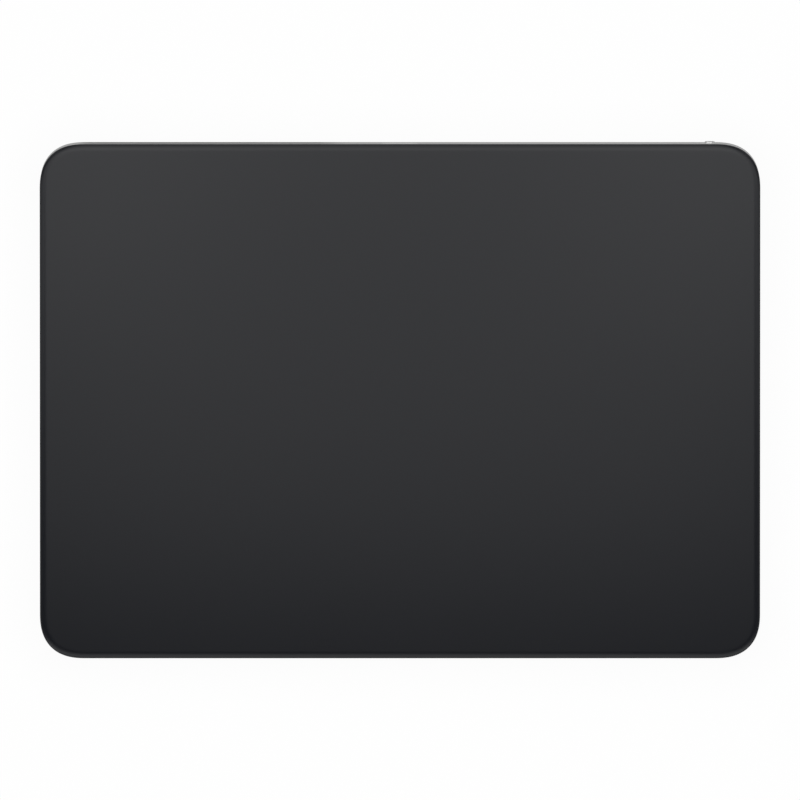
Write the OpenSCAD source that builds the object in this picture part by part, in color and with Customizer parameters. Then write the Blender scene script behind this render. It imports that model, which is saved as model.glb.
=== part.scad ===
// Desk trackpad: a wedge-shaped metal tray under a full-size glass touch plate.
// Millimetres. +X is the user's right, +Y is away from the user, +Z is up.
// The origin is on the desk, under the middle of the tray.
// The deck is the sloping plane of the touch surface.
// Deck levels count up from the touch surface, so they are negative.

/* [Overall] */
// Width across the touch plate
body_w = 160; // [140:1:190]
// Depth of the touch plate along its slope
plate_d = 114.4; // [106:0.2:140]
// Height of the touch surface above the desk at the front edge
front_h = 4.9; // [4.7:0.1:7]
// Height of the touch surface above the desk at the back edge
back_h = 10.9; // [9.8:0.1:14]
// How far each rounded corner reaches along the sides
corner_reach = 10.2; // [7:0.1:16]
// Squareness of the corner curve (2 is a circle, more is squarer)
corner_power = 2.5; // [2:0.1:4]

/* [Touch plate] */
// Thickness of the glass
glass_t = 1; // [0.7:0.05:1.3]
// Width of the rounded edge of the glass, seen from above
glass_round_w = 1.6; // [0.4:0.1:3]
// Height of the rounded edge of the glass
glass_round_h = 0.5; // [0.2:0.05:0.6]
// Chamfer under the glass
glass_chamfer = 0.2; // [0.05:0.05:0.3]
// Thickness of the film that bonds the glass
glass_bond_t = 0.1; // [0.05:0.01:0.2]
// Thickness of the touch sensor board
sensor_board_t = 0.5; // [0.3:0.05:0.7]
// Thickness of the plate that stiffens the glass
support_t = 0.5; // [0.4:0.05:0.8]
// Gap that is left between the pressed glass and the rim of the tray
rim_gap = 0.15; // [0.1:0.05:0.5]
// Room that is left at the edge of the plates under the glass when they shift
plate_room = 0.6; // [0.3:0.1:2]
// How far the touch plate sinks when it is pressed
press_travel = 0.25; // [0.1:0.01:0.3]
// How far the haptic motor shifts the touch plate to each side
shift_travel = 0.2; // [0.05:0.01:0.3]
// Side of the touch controller chip
controller_w = 8; // [5:0.5:12]
// Height of the touch controller chip
controller_h = 0.8; // [0.5:0.1:1]
// Touch controller, to the right of the middle
controller_x = 30; // [26:1:45]
// Touch controller, in front of the middle
controller_front = 20; // [8:1:32]

/* [Enclosure] */
// Thickness of the side walls
wall = 2.2; // [1.8:0.1:3]
// Thickness of the floor
floor_t = 0.8; // [0.6:0.05:1]
// Radius of the lower edge
bottom_round = 1.4; // [0.6:0.1:1.8]
// Bevel on the rim
rim_bevel = 0.25; // [0.1:0.05:0.5]
// Thickness of the floor ribs
rib_t = 1; // [0.6:0.1:2]
// Distance between the floor ribs
rib_pitch = 18; // [14:1:22]
// Space between the floor ribs and the touch plate
rib_room = 1.2; // [0.8:0.1:2]

/* [Underside] */
// Radius of the rubber feet
foot_r = 4.5; // [3:0.1:7]
// How far the feet stand out below the tray
foot_h = 0.4; // [0.3:0.05:0.55]
// How deep the feet sit in the cover
foot_seat = 0.3; // [0.1:0.05:0.4]
// Feet, inward from the sides
foot_side_inset = 15; // [13:0.5:25]
// Feet, inward from the front and the back
foot_end_inset = 14; // [13:0.5:25]
// Rounding of a foot's lower edge
foot_round = 0.2; // [0.05:0.05:0.25]
// Thickness of the bottom cover
cover_t = 0.6; // [0.5:0.05:0.75]
// Width of the tray's edge around the bottom cover
cover_border = 3; // [2.4:0.1:5]
// Open seam around the bottom cover
cover_seam = 0.12; // [0.05:0.01:0.3]
// Thickness of the adhesive on the cover
cover_bond_t = 0.1; // [0.05:0.01:0.15]
// Width of the adhesive frame
cover_bond_w = 4; // [2:0.1:6]

/* [Suspension] */
// Radius of the gel pads
pad_r = 2.2; // [1.5:0.1:2.8]
// Thickness of the gel pads
pad_t = 0.3; // [0.25:0.05:0.5]
// Thickness of the flexure arms
flexure_t = 0.3; // [0.2:0.05:0.4]
// Distance from a flexure's screw to its gel pad
flexure_len = 12.5; // [11:0.5:20]
// Width of a flexure's arm
flexure_w = 3; // [2:0.1:4]
// Radius of a flexure's root
flexure_root_r = 3.2; // [2.8:0.1:4]
// Radius of a flexure's tip
flexure_tip_r = 3; // [2.8:0.1:4]
// Gel pads, inward from the sides
pad_side_inset = 14; // [13:0.5:18]
// Gel pads, inward from the front and the back
pad_end_inset = 13; // [12:0.5:14]
// Height of the threaded collar on a flexure
collar_h = 0.3; // [0.2:0.05:0.35]
// Space that is left between a collar and the pressed touch plate
collar_room = 0.15; // [0.1:0.05:0.25]
// Wall of the threaded collar
collar_wall = 0.7; // [0.4:0.05:1]
// Length of a strain gauge
gauge_len = 2.4; // [1:0.1:3]
// Width of a strain gauge
gauge_w = 1.8; // [1:0.1:2]
// Thickness of a strain gauge
gauge_t = 0.1; // [0.05:0.01:0.15]

/* [Haptic motor] */
// Middle of the motor, in front of the back edge of the plate
motor_y = 32.2; // [31.2:0.5:35.2]
// Thickness of the armature bar
armature_w = 4; // [3:0.1:5]
// Space that is left between the pressed armature and the motor's frame
armature_room = 0.25; // [0.15:0.05:0.6]
// Gap that is left between a core and the armature when it shifts
air_gap = 0.3; // [0.15:0.05:0.6]
// Height of the cores
core_h = 1.9; // [1.5:0.1:2.4]
// Width of a core's middle leg
core_mid = 8; // [5:0.5:9]
// Width of a core's outer legs
core_leg = 4; // [3:0.5:5]
// Slots between the legs of a core
core_slot = 5; // [4:0.5:6]
// Length of the legs of a core
core_reach = 9; // [7:0.5:10]
// Thickness of a core's back
core_back = 3.5; // [2:0.5:4]
// Thickness of a coil beside its leg
coil_side = 1.9; // [1:0.1:3]
// Thickness of a coil above and below its leg
coil_over = 0.45; // [0.3:0.05:0.5]
// Space between a coil and the touch plate
coil_room = 0.45; // [0.3:0.05:0.6]
// Thickness of the motor's frame
motor_frame_t = 0.6; // [0.4:0.05:0.8]
// Width of each ear of the motor's frame
motor_ear = 5; // [4.6:0.1:7]
// Thickness of the armature's lugs
lug_t = 1; // [0.8:0.1:1.4]
// Length of the armature's lugs
lug_len = 4; // [3.4:0.1:5]

/* [Battery] */
// Thickness of a cell
cell_t = 3.2; // [2.6:0.1:3.4]
// Space between a cell and the touch plate
cell_room = 0.4; // [0.3:0.05:1]
// Space between a cell and the wall or the motor
cell_side_room = 1.5; // [1:0.1:4]
// Corner radius of a cell
cell_corner = 2; // [0.5:0.1:5]
// Thickness of the tape under a cell
cell_tape_t = 0.15; // [0.1:0.05:0.2]
// Width of the tape strips
cell_tape_w = 12; // [6:0.5:20]
// Length of the sealed edge with the tabs
cell_seal = 3; // [2:0.1:4]
// Thickness of the sealed edge
cell_seal_t = 0.5; // [0.3:0.05:0.8]
// Width of a tab
tab_w = 3; // [2:0.1:4]
// Thickness of a tab
tab_t = 0.15; // [0.1:0.01:0.2]
// Depth of the battery's own board
battery_board_d = 2.8; // [2:0.1:3]
// Thickness of the battery's own board
battery_board_t = 0.6; // [0.4:0.05:0.8]
// Space between the cells' sealed edges and the battery's board
battery_board_room = 0.4; // [0.2:0.05:0.6]

/* [Logic board] */
// Width of the logic board
logic_w = 84; // [76:1:92]
// Depth of the logic board
logic_d = 10.5; // [10:0.1:11]
// Thickness of the boards
logic_t = 0.8; // [0.6:0.05:1]
// Space between the boards and the back wall
logic_room = 0.7; // [0.4:0.1:1]
// Height of the ribbon sockets
socket_h = 1.2; // [1:0.05:1.6]
// Depth of the ribbon sockets
socket_d = 3; // [2.5:0.1:3.2]
// Wall beside a ribbon in its socket
socket_wall = 0.6; // [0.4:0.05:1]
// Thickness of the ribbon leads
ribbon_t = 0.15; // [0.1:0.01:0.2]
// Width of the touch plate's ribbon
touch_ribbon_w = 10; // [6:0.5:11]
// Width of the motor's and the battery's ribbons
power_ribbon_w = 4.8; // [3:0.1:5]
// Width of the switch's ribbon
switch_ribbon_w = 2.4; // [1.5:0.1:3]
// Space between the parts on the logic board
chip_gap = 2; // [1:0.1:2.4]
// Side of the processor
processor_w = 7; // [5:0.1:8]
// Height of the processor
processor_h = 0.9; // [0.5:0.1:1.4]
// Side of the charger chip
charger_w = 4; // [2:0.1:5]
// Side of the motor's driver chip
driver_w = 5; // [3:0.1:6]
// Height of the charger and driver chips
small_chip_h = 0.8; // [0.4:0.1:1.2]
// Width of the radio's shield
shield_w = 8.6; // [6:0.1:9.5]
// Depth of the radio's shield
shield_d = 8; // [6:0.1:9]
// Height of the radio's shield
shield_h = 1.3; // [0.8:0.1:2]
// Length of the antenna
antenna_len = 4.4; // [3:0.1:5]
// Height of the antenna
antenna_h = 1.6; // [1:0.1:2.4]

/* [Charging port] */
// Middle of the port and the switch, below the touch surface
edge_drop = 5.3; // [4.6:0.1:5.6]
// Outer width of the port's shell
port_w = 8.94; // [8.6:0.01:9.4]
// Outer height of the port's shell
port_h = 3.16; // [3:0.01:3.4]
// Sheet thickness of the port's shell
port_shell_t = 0.3; // [0.2:0.01:0.4]
// Length of the port's shell
port_len = 7.2; // [6:0.1:8]
// How far the shell sits back from the wall's outer face
port_recess = 0.35; // [0.1:0.05:1]
// Width of the tongue
tongue_w = 6.69; // [6:0.01:7]
// Thickness of the tongue
tongue_t = 0.7; // [0.5:0.01:0.9]
// How far the tongue's tip sits back inside the shell
tongue_recess = 0.8; // [0.4:0.1:1.5]
// How far the shell sinks into the logic board
port_sink = 0.8; // [0.3:0.1:1]
// Thickness of the plug that closes the back of the shell
port_plug_t = 1.5; // [0.8:0.1:2.2]
// Distance from contact to contact
contact_pitch = 0.5; // [0.45:0.01:0.55]
// Width of a contact
contact_w = 0.25; // [0.15:0.01:0.3]
// Length of a contact
contact_len = 3.4; // [2:0.1:3.8]
// Thickness of a contact
contact_t = 0.05; // [0.03:0.01:0.1]

/* [Power switch] */
// Switch nub, inward from the right side
switch_inset = 11.2; // [10.8:0.1:13]
// Width of the nub
nub_w = 2.2; // [1.6:0.1:3]
// Height of the nub
nub_h = 1.4; // [1:0.1:2]
// How far the nub stands out from the wall
nub_proud = 0.4; // [0:0.05:0.8]
// How far the switch slides
switch_travel = 1.9; // [1:0.1:2.2]
// Depth of the pocket behind the slot
switch_pocket = 0.9; // [0.7:0.05:1.1]
// Thickness of the shutter behind the nub
shutter_t = 0.4; // [0.2:0.05:0.5]
// How far the shutter covers past the slot
shutter_lap = 0.3; // [0.1:0.05:0.5]
// Width of the slider's stem
stem_w = 1.2; // [0.8:0.1:1.6]
// Height of the slider's stem
stem_h = 0.8; // [0.6:0.1:1.4]
// How far the stem reaches into the switch body
stem_reach = 1.2; // [0.8:0.1:1.6]
// Depth of the switch body
switch_body_d = 3.2; // [2.6:0.1:3.6]
// Wall at the ends of the switch body
switch_body_wall = 1.2; // [0.6:0.1:1.6]

/* [Screws] */
// Shank radius
screw_r = 0.7; // [0.5:0.05:0.8]
// Head radius
screw_head_r = 1.35; // [1.1:0.05:1.5]
// Head height
screw_head_h = 0.5; // [0.35:0.05:0.55]
// Wall around a screw in a post
post_wall = 1.3; // [0.9:0.1:1.6]

/* [Fits] */
// Gap around a screw's shank
screw_fit = 0.05; // [0.02:0.01:0.1]
// Gap around a screw's head
head_fit = 0.15; // [0.05:0.01:0.2]
// Gap between pieces that stay still
still_fit = 0.05; // [0.02:0.01:0.1]
// Gap around pieces that slide
slide_fit = 0.15; // [0.1:0.01:0.2]
// Gap between a ribbon and its socket
ribbon_fit = 0.1; // [0.05:0.01:0.15]

/* [Hidden] */
$fn = 64;

// Straight pieces in a corner of an outline, and in a rounded edge
corner_steps = 12;
round_steps = 6;

// Longer than the whole part, for cutting
far = 400;

// Overlap of solids that are joined, or of a cut past a face
bite = 0.2;

// Length of a screw in its post
screw_bite = 0.5;

// Corners and sides of the part, as directions
front_left = [-1, -1];
front_right = [1, -1];
rear_left = [-1, 1];
rear_right = [1, 1];
corners = [front_left, front_right, rear_left, rear_right];
sides = [-1, 1];

// Colours
silver = [0.80, 0.80, 0.79];
black_glass = [0.20, 0.21, 0.22];
rubber = [0.62, 0.62, 0.61];
board_green = [0.07, 0.20, 0.13];
steel = [0.62, 0.62, 0.63];
dark_steel = [0.33, 0.33, 0.35];
copper = [0.72, 0.40, 0.22];
gold = [0.83, 0.66, 0.30];
pouch = [0.16, 0.16, 0.18];
black_plastic = [0.06, 0.06, 0.07];
amber_film = [0.70, 0.38, 0.10];
gel = [0.55, 0.60, 0.66];

// Slope of the deck and the place of its middle
tilt = asin((back_h - front_h) / plate_d);
deck_z = (front_h + back_h) / 2;
deck_y = -(deck_z - foot_h - bottom_round) * tan(tilt) / 2;

// Heights above the desk
cover_z = foot_h + cover_t;
floor_under_z = cover_z + cover_bond_t;
floor_z = floor_under_z + floor_t;

// Deck levels of the touch plate and its suspension
glass_level = -glass_t;
sensor_top = glass_level - glass_bond_t;
sensor_level = sensor_top - sensor_board_t;
support_level = sensor_level - support_t;
pad_level = support_level - pad_t;
tip_level = pad_level - flexure_t;
pressed_level = support_level - press_travel;
root_level = pressed_level - collar_room - collar_h - flexure_t;
flexure_step = tip_level - root_level;
rim_level = glass_level - press_travel - rim_gap;

// Deck levels of the motor and the boards
coil_top = pressed_level - coil_room;
core_top = coil_top - coil_over - still_fit;
core_level = core_top - core_h;
motor_frame_level = core_level - motor_frame_t;
armature_level = core_level + armature_room + press_travel;
logic_top = -edge_drop - port_h / 2 + port_sink;
logic_level = logic_top - logic_t;
ribbon_level = logic_top + socket_h / 2;
ribbon_in = socket_d * 2 / 3;

// Outlines, inward from the edge of the glass
under_inset = wall + plate_room + shift_travel;
base_d = plate_d / cos(tilt);
base_y = deck_y + (deck_z - foot_h) * tan(tilt);

// Places along the deck
back_face = plate_d / 2;
back_inner = back_face - wall;
motor_mid = back_face - motor_y;
pad_x = body_w / 2 - pad_side_inset;
pad_y = plate_d / 2 - pad_end_inset;
root_x = pad_x - flexure_len;
logic_back = back_inner - logic_room;
logic_front = logic_back - logic_d;

// Holes and posts for the screws
hole_r = screw_r + screw_fit;
head_hole_r = screw_head_r + head_fit;
post_r = hole_r + post_wall;
head_post_r = head_hole_r + post_wall;

// Head of the flexure screws, kept inside the floor under the front pair
flexure_head_level = level_at(floor_under_z, -pad_y) + head_hole_r * tan(tilt) + screw_fit;
flexure_seat = flexure_head_level + screw_head_h;

// Deck level that a height above the desk has at a place along the deck
function level_at(z, y) = (z - deck_z - y * sin(tilt)) / cos(tilt);

// Point of the deck, as a point above the desk
function from_deck(x, y, level) = [
    x,
    deck_y + y * cos(tilt) - level * sin(tilt),
    deck_z + y * sin(tilt) + level * cos(tilt)
];

// Quarter of a superellipse, from the side to the end
function corner_curve(reach) = [
    for (i = [0:corner_steps])
        let (a = 90 * i / corner_steps)
        reach * [pow(cos(a), 2 / corner_power), pow(sin(a), 2 / corner_power)]
];

// Rectangle with rounded corners, counter-clockwise
function outline(w, d, reach) =
    let (c = corner_curve(reach), x = w / 2 - reach, y = d / 2 - reach, n = corner_steps)
    concat(
        [for (i = [0:n]) [x + c[i].x, y + c[i].y]],
        [for (i = [n:-1:0]) [-x - c[i].x, y + c[i].y]],
        [for (i = [0:n]) [-x - c[i].x, -y - c[i].y]],
        [for (i = [n:-1:0]) [x + c[i].x, -y - c[i].y]]
    );

// Outline of the deck, drawn in from the edge of the glass
function deck_outline(inset) = outline(body_w - 2 * inset, plate_d - 2 * inset, corner_reach - inset);

// Solid through a stack of rings, lowest ring first
module loft(rings) {
    n = len(rings[0]);
    last = (len(rings) - 1) * n;
    skin = [
        for (k = [0:n:last - n], i = [0:n - 1])
            let (a = k + i, b = k + (i + 1) % n)
            each [[a, a + n, b], [b, a + n, b + n]]
    ];
    under = [[for (i = [0:n - 1]) i]];
    over = [[for (i = [n - 1:-1:0]) last + i]];
    polyhedron([for (ring = rings) each ring], concat(under, skin, over));
}

// Stands children on the sloping deck
module on_deck() {
    translate([0, deck_y, deck_z]) rotate([tilt, 0, 0]) children();
}

// Plate with the deck's outline between two levels
module deck_plate(inset, low, high) {
    on_deck() translate([0, 0, low]) linear_extrude(high - low) polygon(deck_outline(inset));
}

// Plate with the outline of the tray's underside between two heights
module base_plate(inset, low, high) {
    translate([0, base_y, low])
        linear_extrude(high - low)
            polygon(outline(body_w - 2 * inset, base_d - 2 * inset, corner_reach - inset));
}

// Everything above a height
module above(z) {
    translate([-far / 2, -far / 2, z]) cube(far);
}

// Block from corner to corner
module block(low, high) {
    translate(low) cube(high - low);
}

// Rectangle with round corners
module round_rect(w, d, r) {
    square([w - 2 * r, d], center = true);
    square([w, d - 2 * r], center = true);
    for (x = sides, y = sides)
        translate([x * (w / 2 - r), y * (d / 2 - r)]) circle(r);
}

// Slot with round ends
module stadium(w, h) {
    square([w - h, h], center = true);
    for (x = sides)
        translate([x * (w - h) / 2, 0]) circle(h / 2);
}

// Pulls an outline in the X and Z directions along +Y
module pull_back(y_front, y_back) {
    translate([0, y_back, 0]) rotate([90, 0, 0]) linear_extrude(y_back - y_front) children();
}

// Pulls an outline in the Y and Z directions along +X
module pull_right(x_left, x_right) {
    translate([x_left, 0, 0]) rotate([90, 0, 90]) linear_extrude(x_right - x_left) children();
}

// Post on the tray's floor with its top on a deck level
module post(x, y, top, r = post_r) {
    intersection() {
        on_deck() translate([x, y, top - back_h]) cylinder(r = r, h = back_h);
        above(floor_z - bite);
    }
}

// Pan-head screw that points up, with its seat at the origin
module screw(len) {
    cylinder(r = screw_r, h = len);
    translate([0, 0, -screw_head_h]) difference() {
        cylinder(r = screw_head_r, h = screw_head_h);
        translate([0, 0, -bite]) cylinder(r = screw_r, h = bite + screw_head_h / 2, $fn = 6);
    }
}

// Socket with its mouth at the origin, reaching along +Y
module socket(ribbon_w) {
    w = ribbon_w + 2 * socket_wall;
    mouth_w = ribbon_w + 2 * ribbon_fit;
    mouth_h = ribbon_t + 2 * ribbon_fit;
    difference() {
        block([-w / 2, 0, -socket_h / 2], [w / 2, socket_d, socket_h / 2]);
        block([-mouth_w / 2, -1, -mouth_h / 2], [mouth_w / 2, ribbon_in + ribbon_fit, mouth_h / 2]);
    }
}

// Tray

tray_rounding = [for (i = [0:round_steps]) 90 * i / round_steps];

// Ring of the tray's wall at a height above the desk
function wall_ring(inset, z) = [
    for (p = deck_outline(inset)) from_deck(p.x, p.y, level_at(z, p.y))
];

// Ring of the tray's wall at a deck level
function rim_ring(inset, level) = [
    for (p = deck_outline(inset)) from_deck(p.x, p.y, level)
];

module tray_skin() {
    loft(concat(
        [for (a = tray_rounding)
            wall_ring(bottom_round * (1 - sin(a)), foot_h + bottom_round * (1 - cos(a)))],
        [rim_ring(0, rim_level - rim_bevel), rim_ring(rim_bevel, rim_level)]
    ));
}

module tray_inside() {
    intersection() {
        deck_plate(wall, -2 * back_h, back_h);
        above(floor_z);
    }
}

// Thin walls that stiffen the floor in front of the cells and the motor
module ribs() {
    rib_top = pressed_level - rib_room;
    rib_back = min(cell_front, motor_front) - cell_side_room;
    intersection() {
        on_deck() {
            for (x = sides, i = [0:1])
                translate([x * rib_pitch * (i + 0.5) - rib_t / 2, -back_face, rib_top - back_h])
                    cube([rib_t, back_face + rib_back, back_h]);
            translate([-body_w / 2, rib_back - rib_t, rib_top - back_h])
                cube([body_w, rib_t, back_h]);
        }
        deck_plate(wall - bite, -2 * back_h, back_h);
        above(floor_z - bite);
    }
}

module posts() {
    for (c = corners)
        post(c.x * root_x, c.y * pad_y, root_level, head_post_r);
    for (p = motor_screw_places)
        post(p.x, p.y, motor_frame_level);
    for (p = board_screw_places)
        post(p.x, p.y, logic_level);
    for (p = [switch_screw_place, switch_rest_place])
        post(p.x, p.y, logic_level);
}

// Opening with a bevelled mouth through the back wall, its middle at the origin
module wall_opening(w, h, bevel) {
    pull_back(back_inner - 1, back_face + 1) stadium(w, h);
    hull() {
        pull_back(back_face - bevel - bite / 2, back_face - bevel) stadium(w, h);
        pull_back(back_face, back_face + bite) stadium(w + 2 * bevel, h + 2 * bevel);
    }
}

module enclosure() {
    color(silver)
    difference() {
        union() {
            difference() {
                tray_skin();
                tray_inside();
            }
            ribs();
            posts();
        }
        base_plate(cover_border, 0, floor_under_z);
        on_deck() {
            translate([0, 0, -edge_drop])
                wall_opening(port_w + 2 * still_fit, port_h + 2 * still_fit, rim_bevel);
            translate([slot_x, 0, -edge_drop]) {
                wall_opening(slot_w, slot_h, rim_bevel / 2);
                pull_back(back_inner - 1, back_inner + switch_pocket)
                    square([pocket_w, pocket_h], center = true);
            }
            for (c = corners)
                translate([c.x * root_x, c.y * pad_y, 0]) {
                    translate([0, 0, flexure_seat - bite]) cylinder(r = hole_r, h = back_h);
                    translate([0, 0, flexure_seat - back_h]) cylinder(r = head_hole_r, h = back_h);
                }
            for (p = motor_screw_places)
                translate([p.x, p.y, motor_frame_level - screw_bite])
                    cylinder(r = hole_r, h = screw_bite + 1);
            for (p = concat(board_screw_places, [switch_screw_place]))
                translate([p.x, p.y, logic_level - screw_bite])
                    cylinder(r = hole_r, h = screw_bite + 1);
        }
    }
}

module bottom_cover() {
    color(silver)
    difference() {
        base_plate(cover_border + cover_seam, foot_h, cover_z);
        for (c = corners)
            translate([c.x * foot_x, c.y * foot_y + base_y, 0])
                cylinder(r = foot_r + still_fit, h = foot_h + foot_seat);
    }
}

module cover_bond() {
    color(black_plastic)
    difference() {
        base_plate(cover_border + 2 * cover_seam, cover_z, floor_under_z);
        base_plate(cover_border + cover_bond_w, 0, back_h);
    }
}

foot_x = body_w / 2 - foot_side_inset;
foot_y = base_d / 2 - foot_end_inset;

module foot(c) {
    color(rubber)
    translate([c.x * foot_x, c.y * foot_y + base_y, 0])
        rotate_extrude() {
            translate([0, foot_round]) square([foot_r, foot_h + foot_seat - foot_round]);
            square([foot_r - foot_round, foot_round]);
            translate([foot_r - foot_round, foot_round]) intersection() {
                circle(foot_round);
                translate([0, -foot_round]) square(foot_round);
            }
        }
}

// Touch plate

glass_rounding = [for (i = [0:round_steps]) 90 * i / round_steps];

// Ring of the glass at a deck level
function glass_ring(inset, level) = [for (p = deck_outline(inset)) [p.x, p.y, level]];

module glass() {
    color(black_glass)
    on_deck() loft(concat(
        [glass_ring(glass_chamfer, glass_level), glass_ring(0, glass_level + glass_chamfer)],
        [for (a = glass_rounding)
            glass_ring(glass_round_w * (1 - cos(a)), glass_round_h * (sin(a) - 1))]
    ));
}

module glass_bond() {
    color(black_plastic)
    deck_plate(under_inset + plate_room, sensor_top, glass_level);
}

module sensor_board() {
    color(board_green)
    deck_plate(under_inset + plate_room / 2, sensor_level, sensor_top);
}

module touch_controller() {
    color(black_plastic)
    on_deck() translate([controller_x, -controller_front, sensor_level - controller_h])
        linear_extrude(controller_h) square(controller_w, center = true);
}

// Socket on the underside of the sensor board, above the logic board's own
module touch_connector() {
    color(black_plastic)
    on_deck() translate([touch_x, touch_mouth, sensor_level - socket_h / 2]) socket(touch_ribbon_w);
}

module support_plate() {
    window_room = 1;
    window_corner = 1;
    chip_window = controller_w + 2 * window_room;
    socket_window_w = touch_ribbon_w + 2 * socket_wall + 2 * window_room;
    socket_window_d = socket_d + 2 * window_room;
    color(steel)
    difference() {
        deck_plate(under_inset, support_level, sensor_level);
        on_deck() {
            translate([controller_x, -controller_front, -back_h])
                linear_extrude(back_h) round_rect(chip_window, chip_window, window_corner);
            translate([touch_x, touch_mouth + socket_d / 2, -back_h])
                linear_extrude(back_h) round_rect(socket_window_w, socket_window_d, window_corner);
            for (y = armature_screw_ys)
                translate([0, y, -back_h]) cylinder(r = hole_r, h = back_h);
        }
    }
}

armature_d = 2 * core_leg + 2 * core_slot + core_mid;
armature_screw_ys = [for (s = sides) motor_mid + s * (armature_d + lug_len) / 2];

module armature() {
    lug_w = armature_w + air_gap;
    color(dark_steel)
    on_deck() difference() {
        union() {
            block([-armature_w / 2, motor_mid - armature_d / 2, armature_level],
                [armature_w / 2, motor_mid + armature_d / 2, support_level]);
            for (y = armature_screw_ys)
                block([-lug_w / 2, y - lug_len / 2, support_level - lug_t],
                    [lug_w / 2, y + lug_len / 2, support_level]);
        }
        for (y = armature_screw_ys)
            translate([0, y, -back_h]) cylinder(r = hole_r, h = back_h);
    }
}

module armature_screws() {
    color(steel)
    on_deck() for (y = armature_screw_ys)
        translate([0, y, support_level - lug_t]) screw(lug_t + support_t);
}

// Suspension

// Places children at a corner's flexure, with the root at the origin and the tip along +X
module at_flexure(c) {
    on_deck() translate([c.x * root_x, c.y * pad_y, 0])
        mirror([c.x < 0 ? 1 : 0, 0, 0]) children();
}

bend_start = flexure_len * 0.5;
bend_end = flexure_len * 0.65;

module flexure(c) {
    top = flexure_t;
    end = flexure_len + flexure_tip_r;
    color(steel)
    at_flexure(c) difference() {
        union() {
            intersection() {
                translate([0, 0, root_level]) linear_extrude(flexure_step + flexure_t) {
                    circle(flexure_root_r);
                    translate([flexure_len, 0]) circle(flexure_tip_r);
                    translate([0, -flexure_w / 2]) square([flexure_len, flexure_w]);
                }
                pull_back(-far / 2, far / 2) polygon([
                    [-flexure_root_r, root_level], [bend_start, root_level],
                    [bend_end, tip_level], [end, tip_level],
                    [end, tip_level + top], [bend_end, tip_level + top],
                    [bend_start, root_level + top], [-flexure_root_r, root_level + top]
                ]);
            }
            translate([0, 0, root_level + flexure_t]) cylinder(r = hole_r + collar_wall, h = collar_h);
        }
        translate([0, 0, root_level - 1]) cylinder(r = hole_r, h = flexure_t + collar_h + 2);
    }
}

module gel_pad(c) {
    color(gel)
    at_flexure(c) translate([flexure_len, 0, pad_level]) cylinder(r = pad_r, h = pad_t);
}

module strain_gauges() {
    color(amber_film)
    for (c = corners)
        at_flexure(c) translate([bend_start - gauge_len - bite, -gauge_w / 2, root_level + flexure_t])
            cube([gauge_len, gauge_w, gauge_t]);
}

module flexure_screws() {
    color(steel)
    for (c = corners)
        at_flexure(c) translate([0, 0, flexure_seat])
            screw(root_level + flexure_t + collar_h - flexure_seat);
}

// Haptic motor

pole_x = armature_w / 2 + shift_travel + air_gap;
core_end = pole_x + core_reach + core_back;
motor_frame_w = 2 * (core_end + motor_ear);
motor_frame_d = armature_d + 2;
motor_front = motor_mid - armature_d / 2 - lug_len;
motor_screw_x = core_end + motor_ear / 2;
motor_screw_y = motor_frame_d / 2 - post_r;
motor_screw_places = [for (x = sides, y = sides) [x * motor_screw_x, motor_mid + y * motor_screw_y]];
coil_w = core_mid + 2 * (coil_side + still_fit);
coil_h = core_h + 2 * (coil_over + still_fit);

module haptic_frame() {
    window_room = 0.4;
    color(steel)
    on_deck() difference() {
        translate([0, motor_mid, motor_frame_level]) linear_extrude(motor_frame_t)
            round_rect(motor_frame_w, motor_frame_d, 2);
        for (s = sides)
            translate([s * (pole_x + core_reach / 2), motor_mid, motor_frame_level])
                cube([core_reach - window_room, coil_w + 2 * window_room, 3 * motor_frame_t], center = true);
        for (p = motor_screw_places)
            translate([p.x, p.y, -2 * back_h]) cylinder(r = hole_r, h = 2 * back_h);
    }
}

// Core with three legs that point at the armature
module haptic_core(side) {
    leg_step = core_mid / 2 + core_slot + core_leg / 2;
    color(dark_steel)
    on_deck() mirror([side < 0 ? 1 : 0, 0, 0])
        translate([pole_x, motor_mid, core_level]) linear_extrude(core_h) {
            translate([core_reach, -armature_d / 2]) square([core_back, armature_d]);
            translate([0, -core_mid / 2]) square([core_reach + core_back, core_mid]);
            for (s = sides)
                translate([0, s * leg_step - core_leg / 2]) square([core_reach + core_back, core_leg]);
        }
}

module haptic_coil(side) {
    end_room = 0.7;
    color(copper)
    on_deck() mirror([side < 0 ? 1 : 0, 0, 0])
        translate([0, motor_mid, core_level + core_h / 2])
            pull_right(pole_x + end_room, pole_x + core_reach - end_room)
                difference() {
                    round_rect(coil_w, coil_h, coil_over);
                    square([core_mid + 2 * still_fit, core_h + 2 * still_fit], center = true);
                }
}

// Screws that point down into the posts
module down_screws(places, top, grip) {
    on_deck() for (p = places)
        translate([p.x, p.y, top]) mirror([0, 0, 1]) screw(grip + screw_bite);
}

module haptic_screws() {
    color(steel)
    down_screws(motor_screw_places, core_level, motor_frame_t);
}

// Ribbon along points in the Y and Z directions, thickened upward
module ribbon(x, w, path) {
    upper = [for (i = [len(path) - 1:-1:0]) path[i] + [0, ribbon_t]];
    pull_right(x - w / 2, x + w / 2) polygon(concat(path, upper));
}

module haptic_lead() {
    start = motor_mid + motor_frame_d / 2;
    color(amber_film)
    on_deck() ribbon(port_screw_x, power_ribbon_w, [
        [start, motor_frame_level + motor_frame_t / 2],
        [start + 1, motor_frame_level + motor_frame_t / 2],
        [power_mouth - 1, ribbon_level - ribbon_t / 2],
        [power_mouth + ribbon_in, ribbon_level - ribbon_t / 2]
    ]);
}

// Battery

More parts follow.
